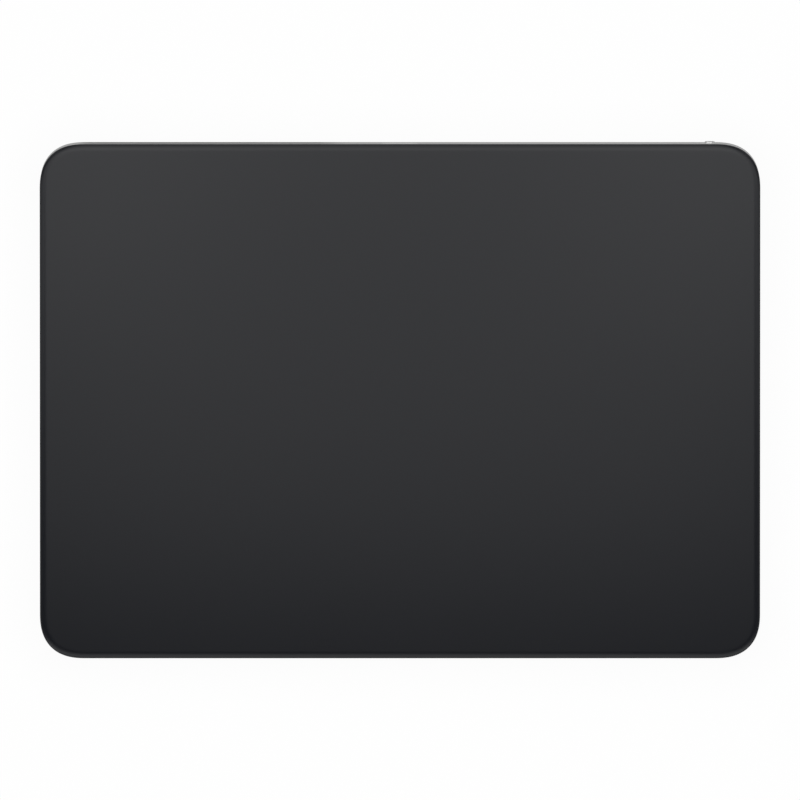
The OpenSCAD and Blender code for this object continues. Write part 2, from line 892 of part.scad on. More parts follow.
cell_z = floor_z + cell_tape_t;
cell_top = cell_z + cell_t;
cell_clear_y = (cell_top + cell_room - deck_z - pressed_level * cos(tilt)) / sin(tilt);
cell_front = from_deck(0, cell_clear_y, pressed_level).y;
cell_end = motor_mid + motor_frame_d / 2;
cell_back = cell_end - cell_seal;
cell_inner = motor_frame_w / 2 + cell_side_room;
cell_outer = body_w / 2 - wall - cell_side_room;
cell_w = cell_outer - cell_inner;
cell_mid = (cell_outer + cell_inner) / 2;
cell_d = cell_back - cell_front;
seal_z = floor_z + battery_board_t;
battery_board_front = cell_end + battery_board_room;
tab_places = [cell_inner + tab_w, cell_inner + 3 * tab_w];
battery_board_w = 2 * (cell_inner + 5 * tab_w);

module battery_cell(side) {
    color(pouch)
    translate([side * cell_mid, 0, 0]) {
        translate([0, cell_front + cell_d / 2, cell_z])
            linear_extrude(cell_t) round_rect(cell_w, cell_d, cell_corner);
        block([-cell_w / 2 + cell_corner, cell_back - cell_corner, seal_z],
            [cell_w / 2 - cell_corner, cell_end, seal_z + cell_seal_t]);
    }
}

module battery_tape() {
    color(black_plastic)
    for (side = sides, s = sides) {
        strip_x = side * cell_mid + s * (cell_w / 2 - cell_tape_w);
        translate([strip_x - cell_tape_w / 2, cell_front + cell_corner, floor_z])
            cube([cell_tape_w, cell_d - 2 * cell_corner, cell_tape_t]);
    }
}

module battery_tabs() {
    color(steel)
    for (side = sides, x = tab_places)
        translate([side * x - tab_w / 2, cell_end, seal_z])
            cube([tab_w, battery_board_room + battery_board_d / 2, tab_t]);
}

module battery_board() {
    color(board_green)
    block([-battery_board_w / 2, battery_board_front, floor_z],
        [battery_board_w / 2, battery_board_front + battery_board_d, seal_z]);
}

module battery_lead() {
    start = battery_board_front + battery_board_d / 3;
    step = battery_board_front + battery_board_d;
    mouth = from_deck(0, power_mouth, ribbon_level);
    color(amber_film)
    ribbon(-port_screw_x, power_ribbon_w, [
        [start, seal_z],
        [step, seal_z],
        [mouth.y - 0.4, mouth.z - ribbon_t / 2],
        [mouth.y + ribbon_in, mouth.z - ribbon_t / 2 + ribbon_in * tan(tilt)]
    ]);
}

// Logic board

port_screw_x = port_w / 2 + head_hole_r + chip_gap;
board_screw_places = [
    for (x = sides) [x * (logic_w / 2 - post_r), logic_front + post_r],
    for (x = sides) [x * port_screw_x, logic_back - post_r]
];
logic_mid = (logic_front + logic_back) / 2;
power_mouth = logic_front + chip_gap / 4;
touch_mouth = logic_mid - socket_d / 2;
switch_mouth = logic_w / 2 - chip_gap;
touch_socket_w = touch_ribbon_w + 2 * socket_wall;
power_socket_w = power_ribbon_w + 2 * socket_wall;

// Places across the board, outward from the port
port_side = port_screw_x + max(head_hole_r, power_socket_w / 2);
touch_x = -port_side - chip_gap / 2 - touch_socket_w / 2;
shield_x = touch_x - touch_socket_w / 2 - chip_gap - shield_w / 2;
processor_x = port_side + chip_gap / 2 + processor_w / 2;
charger_x = processor_x + processor_w / 2 + chip_gap + charger_w / 2;
driver_x = charger_x + charger_w / 2 + chip_gap + driver_w / 2;

// Board with a notch for the port's shell
module logic_board() {
    color(board_green)
    on_deck() difference() {
        block([-logic_w / 2, logic_front, logic_level], [logic_w / 2, logic_back, logic_top]);
        block([-port_w / 2 - still_fit, port_end - still_fit, logic_level - bite],
            [port_w / 2 + still_fit, back_face, logic_top + bite]);
        for (p = board_screw_places)
            translate([p.x, p.y, -2 * back_h]) cylinder(r = hole_r, h = 2 * back_h);
    }
}

// Flat part soldered on the logic board
module chip(x, w, d, h) {
    on_deck() translate([x, logic_mid, logic_top]) linear_extrude(h) square([w, d], center = true);
}

module processor_chip() {
    color(black_plastic)
    chip(processor_x, processor_w, processor_w, processor_h);
}

module radio_shield() {
    color(steel)
    chip(shield_x, shield_w, shield_d, shield_h);
}

module charger_chip() {
    color(black_plastic)
    chip(charger_x, charger_w, charger_w, small_chip_h);
}

module driver_chip() {
    color(black_plastic)
    chip(driver_x, driver_w, driver_w, small_chip_h);
}

// Bent metal aerial: two legs on the board and a strip across them
module antenna() {
    sheet = 0.3;
    strip_w = 1;
    edge = 0.6;
    color(gold)
    on_deck() translate([-logic_w / 2 + edge, logic_back - strip_w - edge, logic_top]) {
        cube([sheet, strip_w, antenna_h]);
        translate([antenna_len / 3, 0, 0]) cube([sheet, strip_w, antenna_h]);
        translate([0, 0, antenna_h - sheet]) cube([antenna_len, strip_w, sheet]);
    }
}

module board_sockets() {
    color(black_plastic)
    on_deck() {
        translate([touch_x, touch_mouth, ribbon_level]) socket(touch_ribbon_w);
        for (s = sides)
            translate([s * port_screw_x, power_mouth, ribbon_level]) socket(power_ribbon_w);
        translate([switch_mouth, switch_lead_y, ribbon_level]) rotate([0, 0, 90]) socket(switch_ribbon_w);
    }
}

module board_screws() {
    color(steel)
    down_screws(board_screw_places, logic_top, logic_t);
}

// Ribbon folded back on itself, so that the touch plate can move
module touch_lead() {
    upper = sensor_level - socket_h / 2;
    bend_r = (upper - ribbon_level) / 2;
    bend_y = touch_mouth - 1;
    color(amber_film)
    on_deck() pull_right(touch_x - touch_ribbon_w / 2, touch_x + touch_ribbon_w / 2) {
        for (level = [upper, ribbon_level])
            translate([bend_y, level - ribbon_t / 2]) square([touch_mouth + ribbon_in - bend_y, ribbon_t]);
        translate([bend_y, ribbon_level + bend_r]) difference() {
            circle(bend_r + ribbon_t / 2);
            circle(bend_r - ribbon_t / 2);
            translate([0, -back_h]) square(2 * back_h);
        }
    }
}

// Charging port

port_mouth = back_face - port_recess;
port_end = port_mouth - port_len;
port_inner_w = port_w - 2 * port_shell_t;
port_inner_h = port_h - 2 * port_shell_t;

// Places children on the middle of the port
module at_port() {
    on_deck() translate([0, 0, -edge_drop]) children();
}

module port_shell() {
    color(steel)
    at_port() difference() {
        pull_back(port_end, port_mouth) stadium(port_w, port_h);
        pull_back(port_end - 1, port_mouth + 1) stadium(port_inner_w, port_inner_h);
    }
}

module port_tongue() {
    color(black_plastic)
    at_port() {
        pull_back(port_end, port_end + port_plug_t) stadium(port_inner_w, port_inner_h);
        pull_back(port_end, port_mouth - tongue_recess) square([tongue_w, tongue_t], center = true);
    }
}

module port_contacts() {
    contact_back = port_mouth - tongue_recess - 0.4 - contact_len;
    color(gold)
    at_port() for (i = [0:11], s = sides)
        translate([(i - 5.5) * contact_pitch, contact_back + contact_len / 2, s * (tongue_t + contact_t) / 2])
            cube([contact_w, contact_len, contact_t], center = true);
}

// Power switch

nub_x = body_w / 2 - switch_inset;
slot_w = nub_w + switch_travel + 2 * slide_fit;
slot_h = nub_h + 2 * slide_fit;
slot_x = nub_x - switch_travel / 2;
shutter_w = slot_w + switch_travel + 2 * shutter_lap;
shutter_h = slot_h + 2 * shutter_lap;
pocket_w = shutter_w + switch_travel + 2 * slide_fit;
pocket_h = shutter_h + 2 * slide_fit;
shutter_front = back_inner + switch_pocket - slide_fit;
shutter_back = shutter_front - shutter_t;
switch_front = back_inner - still_fit;
switch_back = switch_front - switch_body_d;
stem_end = switch_front - stem_reach;
stem_slot_w = stem_w + switch_travel + 2 * slide_fit;
switch_body_w = stem_slot_w + 2 * switch_body_wall;
switch_board_left = slot_x - switch_body_w / 2 - socket_d;
switch_board_right = slot_x + switch_body_w / 2;
switch_board_front = switch_back - 2 * post_r;
switch_screw_place = [switch_board_right - post_r, switch_back - post_r];
switch_rest_place = [switch_board_left + post_r, switch_back - post_r];
switch_lead_y = logic_back - switch_ribbon_w / 2 - socket_wall;

// Places children on the middle of the nub
module at_nub() {
    on_deck() translate([nub_x, 0, -edge_drop]) children();
}

module switch_knob() {
    color(silver)
    at_nub() pull_back(shutter_front, back_face + nub_proud) stadium(nub_w, nub_h);
}

module switch_slider() {
    color(black_plastic)
    at_nub() {
        pull_back(shutter_back, shutter_front) square([shutter_w, shutter_h], center = true);
        pull_back(stem_end, shutter_front) square([stem_w, stem_h], center = true);
    }
}

module switch_body() {
    color(steel)
    on_deck() translate([slot_x, 0, 0]) difference() {
        block([-switch_body_w / 2, switch_back, logic_top],
            [switch_body_w / 2, switch_front, -edge_drop + port_h / 2]);
        translate([0, 0, -edge_drop]) pull_back(stem_end - slide_fit, switch_front + 1)
            square([stem_slot_w, stem_h + 2 * slide_fit], center = true);
    }
}

module switch_board() {
    color(board_green)
    on_deck() difference() {
        block([switch_board_left, switch_board_front, logic_level],
            [switch_board_right, logic_back, logic_top]);
        translate([switch_screw_place.x, switch_screw_place.y, -2 * back_h])
            cylinder(r = hole_r, h = 2 * back_h);
    }
}

module switch_socket() {
    color(black_plastic)
    on_deck() translate([switch_board_left, switch_lead_y, ribbon_level])
        rotate([0, 0, -90]) socket(switch_ribbon_w);
}

module switch_screw() {
    color(steel)
    down_screws([switch_screw_place], logic_top, logic_t);
}

module switch_lead() {
    color(amber_film)
    on_deck() block(
        [switch_mouth - ribbon_in, switch_lead_y - switch_ribbon_w / 2, ribbon_level - ribbon_t / 2],
        [switch_board_left + ribbon_in, switch_lead_y + switch_ribbon_w / 2, ribbon_level + ribbon_t / 2]);
}

enclosure();
bottom_cover();
cover_bond();
foot(front_left);  // foot_front_left
foot(front_right);  // foot_front_right
foot(rear_left);  // foot_rear_left
foot(rear_right);  // foot_rear_right
glass();
glass_bond();
sensor_board();
touch_controller();
touch_connector();
support_plate();
armature();
armature_screws();
flexure(front_left);  // flexure_front_left
flexure(front_right);  // flexure_front_right
flexure(rear_left);  // flexure_rear_left
flexure(rear_right);  // flexure_rear_right
gel_pad(front_left);  // gel_pad_front_left
gel_pad(front_right);  // gel_pad_front_right
gel_pad(rear_left);  // gel_pad_rear_left
gel_pad(rear_right);  // gel_pad_rear_right
strain_gauges();
flexure_screws();
haptic_frame();
haptic_core(-1);  // haptic_core_left
haptic_core(1);  // haptic_core_right
haptic_coil(-1);  // haptic_coil_left
haptic_coil(1);  // haptic_coil_right
haptic_screws();
haptic_lead();
battery_cell(-1);  // battery_cell_left
battery_cell(1);  // battery_cell_right
battery_tape();
battery_tabs();
battery_board();
battery_lead();
logic_board();
processor_chip();
radio_shield();
charger_chip();
driver_chip();
antenna();
board_sockets();
board_screws();
touch_lead();
port_shell();
port_tongue();
port_contacts();
switch_knob();
switch_slider();
switch_body();
switch_board();
switch_socket();
switch_screw();
switch_lead();
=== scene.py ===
"""Desk trackpad: a sloping black glass touch plate on a silver wedge tray, seen from straight above."""

import math

import bmesh
import bpy
from mathutils import Matrix, Vector


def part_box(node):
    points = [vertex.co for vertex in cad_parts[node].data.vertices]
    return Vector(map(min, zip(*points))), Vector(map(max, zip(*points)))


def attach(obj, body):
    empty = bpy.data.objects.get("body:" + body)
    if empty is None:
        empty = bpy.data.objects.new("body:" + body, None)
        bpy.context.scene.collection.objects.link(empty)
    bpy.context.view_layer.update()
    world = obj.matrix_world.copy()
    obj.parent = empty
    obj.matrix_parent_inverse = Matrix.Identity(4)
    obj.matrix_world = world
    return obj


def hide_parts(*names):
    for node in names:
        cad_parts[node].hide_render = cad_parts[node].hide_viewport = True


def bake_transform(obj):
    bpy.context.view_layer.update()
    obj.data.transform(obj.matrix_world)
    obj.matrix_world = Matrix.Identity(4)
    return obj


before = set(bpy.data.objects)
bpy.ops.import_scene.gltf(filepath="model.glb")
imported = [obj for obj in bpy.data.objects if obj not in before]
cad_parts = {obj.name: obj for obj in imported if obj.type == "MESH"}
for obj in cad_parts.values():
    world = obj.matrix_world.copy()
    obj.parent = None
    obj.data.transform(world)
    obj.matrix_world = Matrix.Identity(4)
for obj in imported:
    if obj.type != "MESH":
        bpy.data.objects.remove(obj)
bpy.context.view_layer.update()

bl_info = {
    "name": "Desk trackpad",
    "version": (1, 0, 0),
    "blender": (4, 5, 0),
    "location": "3D View > Sidebar > Trackpad",
    "description": "Dresses the desk trackpad and sets it on a pale studio floor",
    "category": "Object",
}

# Steps of rounded and bent forms
CORNER_STEPS = 28
EDGE_STEPS = 10
BAR_STEPS = 14
LIP_STEPS = 3
CHAMFER_STEPS = 1
DISC_STEPS = 96
POST_STEPS = 48
BEND_STEPS = 8

# Bevel profile of a quarter circle
ROUND = 0.5

# Share of a bar's height that its edges are rounded by, just short of meeting in the middle
BAR_ROUND = 0.49995

# Points closer than this are the same point, and points this near a plane lie in it, in metres
CLOSE = 1e-6
NEAR = 1e-5

# Pieces stay this far inside the outline of the solids, in metres
SKIN = 3e-6

# Two directions are the same where the cosine between them is over this
PARALLEL = 0.9999

# Edges that fold more than this stay sharp, in degrees
SHARP_FOLD = 35


# Sizes and colours that a user would change

def length(name, text, value):
    return bpy.props.FloatProperty(
        name=name, description=text, default=value, min=0.0, unit="LENGTH", subtype="DISTANCE", precision=5)


def colour(name, text, value):
    return bpy.props.FloatVectorProperty(
        name=name, description=text, default=value, min=0.0, max=1.0, size=3, subtype="COLOR")


class TrackpadSizes(bpy.types.PropertyGroup):
    """Sizes of the pieces that show or bend"""

    width: length("Width", "Width across the touch plate", 0.160)
    depth: length("Depth", "Depth of the touch plate along its slope", 0.1144)
    front_height: length("Front height", "Height of the touch surface at its front edge", 0.0049)
    back_height: length("Back height", "Height of the touch surface at its back edge", 0.0109)
    corner_reach: length("Corner reach", "How far a rounded corner reaches along the sides", 0.0102)
    corner_power: bpy.props.FloatProperty(
        name="Corner squareness", description="2 is a circle and more is squarer",
        default=2.5, min=2.0, max=4.0)

    glass_thickness: length("Glass", "Thickness of the glass", 0.001)
    glass_round_width: length("Glass edge width", "Width of the rounded edge of the glass", 0.0016)
    glass_round_height: length("Glass edge height", "Height of the rounded edge of the glass", 0.0005)
    glass_ring: length("Glass ring", "Ring of flat faces inside the rounded edge", 0.0005)
    glass_chamfer: length("Glass chamfer", "Chamfer under the glass", 0.0002)

    rim_drop: length("Rim drop", "From the touch surface down to the rim of the tray", 0.0014)
    rim_round: length("Rim rounding", "Rounding of the rim's outer edge", 0.00025)
    wall: length("Wall", "Thickness of the side walls", 0.0022)
    bottom_round: length("Bottom rounding", "Radius of the tray's lower edge", 0.0014)
    ground_gap: length("Ground gap", "From the desk up to the underside of the tray", 0.0004)
    floor_height: length("Floor height", "From the desk up to the floor inside the tray", 0.0019)
    floor_bite: length("Floor bite", "How far posts and ribs sink into the floor and walls", 0.0004)
    rib_thickness: length("Rib thickness", "Thickness of the ribs on the floor", 0.001)
    rib_pitch: length("Rib pitch", "From rib to rib", 0.018)
    rib_drop: length("Rib drop", "From the touch surface down to the top of the ribs", 0.00355)
    rib_back: length("Rib end", "From the middle back to the end of the ribs", 0.000305)
    hole_radius: length("Hole radius", "Radius of the holes for screws", 0.00075)
    hole_depth: length("Hole depth", "Depth of the holes for screws", 0.0005)
    head_radius: length("Head radius", "Radius of the holes for screw heads", 0.0015)
    spring_seat: length("Spring seat", "From the touch surface down to the arms' screw heads", 0.003859)

    cover_border: length("Cover border", "Width of the tray's edge around the bottom cover", 0.003)
    cover_recess: length("Cover recess", "Depth of the recess for the bottom cover", 0.0007)
    cover_seam: length("Cover seam", "Open seam around the bottom cover", 0.00012)
    cover_round: length("Cover rounding", "Rounding of the bottom cover's edge", 0.00012)
    foot_round: length("Foot rounding", "Rounding of a foot's lower edge", 0.0002)
    foot_fit: length("Foot fit", "Gap around a foot in its pocket", 0.00005)

    edge_drop: length("Port drop", "From the touch surface down to the port and the switch", 0.0053)
    port_width: length("Port width", "Outer width of the port's shell", 0.00894)
    port_height: length("Port height", "Outer height of the port's shell", 0.00316)
    port_length: length("Port length", "Length of the port's shell", 0.0072)
    port_recess: length("Port recess", "From the wall's outer face in to the port's mouth", 0.00035)
    port_sheet: length("Port sheet", "Sheet thickness of the port's shell", 0.0003)
    port_lip: length("Port lip", "Rounding of the port's mouth", 0.000105)
    port_plug: length("Port plug", "Thickness of the plug that closes the shell", 0.0015)
    tongue_width: length("Tongue width", "Width of the port's tongue", 0.00669)
    tongue_height: length("Tongue height", "Thickness of the port's tongue", 0.0007)
    tongue_recess: length("Tongue recess", "From the port's mouth in to the tongue's tip", 0.0008)
    tongue_round: length("Tongue rounding", "Rounding of the tongue's tip", 0.000175)
    opening_fit: length("Opening fit", "Gap around the port in the wall", 0.00005)

    nub_inset: length("Nub inset", "From the right side in to the switch nub", 0.0112)
    nub_width: length("Nub width", "Width of the switch nub", 0.0022)
    nub_height: length("Nub height", "Height of the switch nub", 0.0014)
    nub_proud: length("Nub reach", "How far the nub stands out from the wall", 0.0004)
    nub_round: length("Nub rounding", "Rounding of the nub's outer edge", 0.00016)
    switch_travel: length("Switch travel", "How far the switch slides", 0.0019)
    slide_fit: length("Slide fit", "Gap around pieces that slide", 0.00015)
    pocket_depth: length("Pocket depth", "Depth of the pocket behind the switch slot", 0.0009)
    pocket_lap: length("Pocket lap", "How far the switch's shutter laps past the slot", 0.0003)

    ribbon_fold: length("Ribbon fold", "From the back edge in to the fold of the touch ribbon", 0.01065)
    ribbon_leg: length("Ribbon leg", "Length of each straight end of the touch ribbon", 0.003)
    ribbon_upper: length("Ribbon top", "From the touch surface down to the ribbon's upper end", 0.0022)
    ribbon_lower: length("Ribbon bottom", "From the touch surface down to the ribbon's lower end", 0.00548)
    ribbon_thickness: length("Ribbon thickness", "Thickness of the touch ribbon", 0.00015)


class TrackpadColours(bpy.types.PropertyGroup):
    """Colours of the finishes"""

    glass: colour("Glass", "Black behind the etched glass", (0.0008, 0.0018, 0.0050))
    silver: colour("Silver", "Blasted and anodised aluminium", (0.67, 0.67, 0.665))
    foot: colour("Feet", "Grey rubber of the feet", (0.55, 0.55, 0.54))
    steel: colour("Steel", "Bare sheet steel", (0.62, 0.62, 0.63))
    plastic: colour("Plastic", "Black moulded plastic", (0.022, 0.022, 0.024))
    switched_on: colour("Switched on", "Half of the shutter that shows when on", (0.10, 0.46, 0.14))
    film: colour("Film", "Black adhesive film and tape", (0.030, 0.030, 0.034))
    core: colour("Core", "Laminated steel of the haptic motor", (0.30, 0.30, 0.32))
    copper: colour("Copper", "Enamelled wire of the coils", (0.72, 0.40, 0.22))
    gold: colour("Gold", "Plated contacts", (0.83, 0.66, 0.30))
    amber: colour("Amber", "Ribbons and leads", (0.62, 0.32, 0.08))
    gel: colour("Gel", "Silicone gel of the pads", (0.55, 0.60, 0.66))
    pouch: colour("Pouch", "Pouches of the battery cells", (0.10, 0.10, 0.11))
    board: colour("Board", "Lacquer on the boards", (0.05, 0.16, 0.10))
    floor: colour("Floor", "Pale studio floor", (0.74, 0.74, 0.74))


# Modelling by hand

class Deck:
    """The sloping plane of the touch surface, with its middle as the origin while pieces are made"""

    def __init__(self, sizes):
        self.tilt = math.asin((sizes.back_height - sizes.front_height) / sizes.depth)
        self.z = (sizes.front_height + sizes.back_height) / 2
        wall_height = self.z - sizes.ground_gap - sizes.bottom_round
        self.y = -wall_height * math.tan(self.tilt) / 2
        self.up = Vector((0, math.sin(self.tilt), math.cos(self.tilt)))

    def level(self, height):
        """Level above the deck's middle of a height above the desk"""
        return (height - self.z) / math.cos(self.tilt)

    def height(self, point):
        """Height above the desk of a point on the deck"""
        return self.z + point.dot(self.up)

    def point(self, x, y, level):
        """Place in the part of a point on the deck"""
        turn = Matrix.Rotation(self.tilt, 3, "X")
        return Vector((0, self.y, self.z)) + turn @ Vector((x, y, level))

    def carry(self, piece):
        """Moves a piece from the flat drawing to its sloping place"""
        show_only(piece)
        piece.rotation_euler = (self.tilt, 0, 0)
        piece.location = (0, self.y, self.z)
        settle()


def show_only(piece):
    bpy.ops.object.select_all(action="DESELECT")
    piece.select_set(True)
    bpy.context.view_layer.objects.active = piece


def settle():
    """Puts the place, turn and scale of the selected piece into its mesh"""
    bpy.ops.object.transform_apply(location=True, rotation=True, scale=True)


def name_piece(name):
    piece = bpy.context.active_object
    piece.name = name
    piece.data.name = name
    return piece


def copy_piece(piece, name):
    show_only(piece)
    bpy.ops.object.duplicate()
    return name_piece(name)


def block(name, low, high):
    """Cube primitive from corner to corner"""
    bpy.ops.object.select_all(action="DESELECT")
    low, high = Vector(low), Vector(high)
    bpy.ops.mesh.primitive_cube_add(size=1, location=(low + high) / 2)
    piece = name_piece(name)
    piece.scale = high - low
    settle()
    return piece


def disc(name, x, y, low, high, radius, steps=DISC_STEPS):
    """Upright cylinder primitive between two heights"""
    bpy.ops.object.select_all(action="DESELECT")
    bpy.ops.mesh.primitive_cylinder_add(
        vertices=steps, radius=radius, depth=high - low, location=(x, y, (low + high) / 2))
    piece = name_piece(name)
    settle()
    return piece


class Editing:
    """Edit mode on one piece"""

    def __init__(self, piece):
        self.piece = piece

    def __enter__(self):
        show_only(self.piece)
        bpy.ops.object.mode_set(mode="EDIT")
        bpy.ops.mesh.select_all(action="DESELECT")
        return self

    def __exit__(self, *problem):
        bpy.ops.object.mode_set(mode="OBJECT")

    def pick(self, kind, test):
        """Selects the points, edges or faces that pass a test"""
        bpy.ops.mesh.select_mode(type=kind)
        bpy.ops.mesh.select_all(action="DESELECT")
        grid = bmesh.from_edit_mesh(self.piece.data)
        grid.normal_update()
        parts = {"VERT": grid.verts, "EDGE": grid.edges, "FACE": grid.faces}[kind]
        found = [part for part in parts if test(part)]
        if not found:
            raise RuntimeError(f"nothing to select on {self.piece.name}")
        for part in found:
            part.select_set(True)
        bmesh.update_edit_mesh(self.piece.data)

    def bevel(self, test, reach, steps, profile=ROUND):
        self.pick("EDGE", test)
        bpy.ops.mesh.bevel(
            offset_type="OFFSET", offset=reach, segments=steps, profile=profile,
            affect="EDGES", clamp_overlap=False, loop_slide=False)

    def level_off(self, deck, height):
        """Cuts off what is lower than a height above the desk"""
        bpy.ops.mesh.select_all(action="SELECT")
        bpy.ops.mesh.bisect(
            plane_co=(0, 0, deck.level(height)), plane_no=deck.up, use_fill=True, clear_inner=True)

    def merge(self):
        bpy.ops.mesh.select_all(action="SELECT")
        bpy.ops.mesh.remove_doubles(threshold=CLOSE)

    def face_out(self):
        bpy.ops.mesh.select_all(action="SELECT")
        bpy.ops.mesh.normals_make_consistent(inside=False)


def runs_along(axis):
    """Test for edges that run along X, Y or Z"""
    def test(edge):
        line = (edge.verts[1].co - edge.verts[0].co).normalized()
        return abs(line["XYZ".index(axis)]) > PARALLEL
    return test


def lies_at(axis, place):
    """Test for sharp edges in the plane across an axis"""
    spot = "XYZ".index(axis)

    def test(edge):
        flat = all(abs(point.co[spot] - place) < NEAR for point in edge.verts)
        return flat and edge.calc_face_angle(0) > math.radians(SHARP_FOLD)
    return test


def corner_profile(power):
    """Bevel profile of a superellipse corner"""
    return 0.5 ** (2 / power)


def bar(name, x, level, width, height, front, back):
    """Bar along Y with a stadium for its outline"""
    piece = block(
        name, (x - width / 2, front, level - height / 2), (x + width / 2, back, level + height / 2))
    with Editing(piece) as edit:
        edit.bevel(runs_along("Y"), BAR_ROUND * height, BAR_STEPS)
        edit.merge()
    return piece


def wedge(name, sizes, deck, inset, top, floor_z):
    """Block with the deck's outline, cut off level at a height above the desk"""
    x = sizes.width / 2 - inset - SKIN
    y = sizes.depth / 2 - inset - SKIN
    piece = block(name, (-x, -y, top - 2 * sizes.back_height), (x, y, top))
    with Editing(piece) as edit:
        edit.bevel(
            runs_along("Z"), sizes.corner_reach - inset, CORNER_STEPS, corner_profile(sizes.corner_power))
        edit.level_off(deck, floor_z)
    return piece


def combine(piece, other, way):
    """Cuts one shape out of another, or adds it, and uses it up"""
    show_only(piece)
    change = piece.modifiers.new("Change", "BOOLEAN")
    change.operation = way
    change.solver = "EXACT"
    change.object = other
    bpy.ops.object.modifier_apply(modifier=change.name)
    bpy.data.objects.remove(other, do_unlink=True)


def cut(piece, *others):
    for other in others:
        combine(piece, other, "DIFFERENCE")


def add(piece, *others):
    for other in others:
        combine(piece, other, "UNION")


def smooth(piece):
    """Smooth shading that keeps flat faces flat"""
    show_only(piece)
    bpy.ops.object.shade_smooth_by_angle(angle=math.radians(SHARP_FOLD))
    even = piece.modifiers.new("Even shading", "WEIGHTED_NORMAL")
    even.keep_sharp = True
    bpy.ops.object.modifier_apply(modifier=even.name)


def fit(piece, material, slot, *nodes):
    """Gives a piece smooth shading and its finish, and hides the solids that it stands for"""
    smooth(piece)
    piece.data.materials.clear()
    piece.data.materials.append(material)
    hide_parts(*nodes)


def give(node, material):
    """Puts a finish on a solid that stays as it is"""
    for slot in node.material_slots:
        slot.material = material


# Nodes of a finish

# Places of the two colours and of the result among the sockets of a Mix node
FIRST_COLOUR = 6
SECOND_COLOUR = 7
MIXED_COLOUR = 2


def put(tree, kind, inputs=None, **settings):
    """Adds a node; an input has a name or a number, and takes a value or another node's output"""
    node = tree.nodes.new(kind)
    for name, value in settings.items():
        setattr(node, name, value)
    for name, value in (inputs or {}).items():
        if isinstance(value, bpy.types.NodeSocket):
            tree.links.new(value, node.inputs[name])
        else:
            node.inputs[name].default_value = value
    return node


def object_place(tree):
    return put(tree, "ShaderNodeTexCoord").outputs["Object"]


def calculate(tree, operation, *values):
    return put(tree, "ShaderNodeMath", dict(enumerate(values)), operation=operation).outputs[0]


def calculate_vector(tree, operation, *values, result="Vector"):
    return put(tree, "ShaderNodeVectorMath", dict(enumerate(values)), operation=operation).outputs[result]


def mix_colours(tree, share, first, second):
    inputs = {"Factor": share, FIRST_COLOUR: first, SECOND_COLOUR: second}
    return put(tree, "ShaderNodeMix", inputs, data_type="RGBA").outputs[MIXED_COLOUR]


def mix_shaders(tree, share, first, second):
    return put(tree, "ShaderNodeMixShader", {"Fac": share, 1: first, 2: second}).outputs["Shader"]


def graded(tree, value, stops):
    """Amount that changes from stop to stop along a value"""
    low, high = stops[0][0], stops[-1][0]
    share = put(tree, "ShaderNodeMapRange", {"Value": value, "From Min": low, "From Max": high})
    ramp = put(tree, "ShaderNodeValToRGB", {"Fac": share.outputs["Result"]})
    while len(ramp.color_ramp.elements) < len(stops):
        ramp.color_ramp.elements.new(1)
    for stop, (at, amount) in zip(ramp.color_ramp.elements, stops):
        stop.position = (at - low) / (high - low)
        stop.color = (amount, amount, amount, 1)
    return ramp.outputs["Color"]


def eased(tree, value, span, amounts):
    """Amount that goes smoothly from one to another over a span of a value"""
    inputs = {
        "Value": value, "From Min": span[0], "From Max": span[1],
        "To Min": amounts[0], "To Max": amounts[1]}
    return put(tree, "ShaderNodeMapRange", inputs, interpolation_type="SMOOTHSTEP").outputs["Result"]


def emboss(tree, height, strength, depth):
    """Relief in a finish from a pattern of heights"""
    relief = put(tree, "ShaderNodeBump", {"Strength": strength, "Distance": depth, "Height": height})
    tree.links.new(relief.outputs["Normal"], tree.nodes["Principled BSDF"].inputs["Normal"])


def group_socket(tree, name, kind, way, value=None):
    socket = tree.interface.new_socket(name=name, in_out=way, socket_type="NodeSocket" + kind)
    if value is not None:
        socket.default_value = value


# Share of the grain in a finish, against its larger patches, and the values between which its roughness goes
# from smooth to rough
GRAIN_SHARE = 0.6
GLOSS_SPAN = (0.25, 0.75)


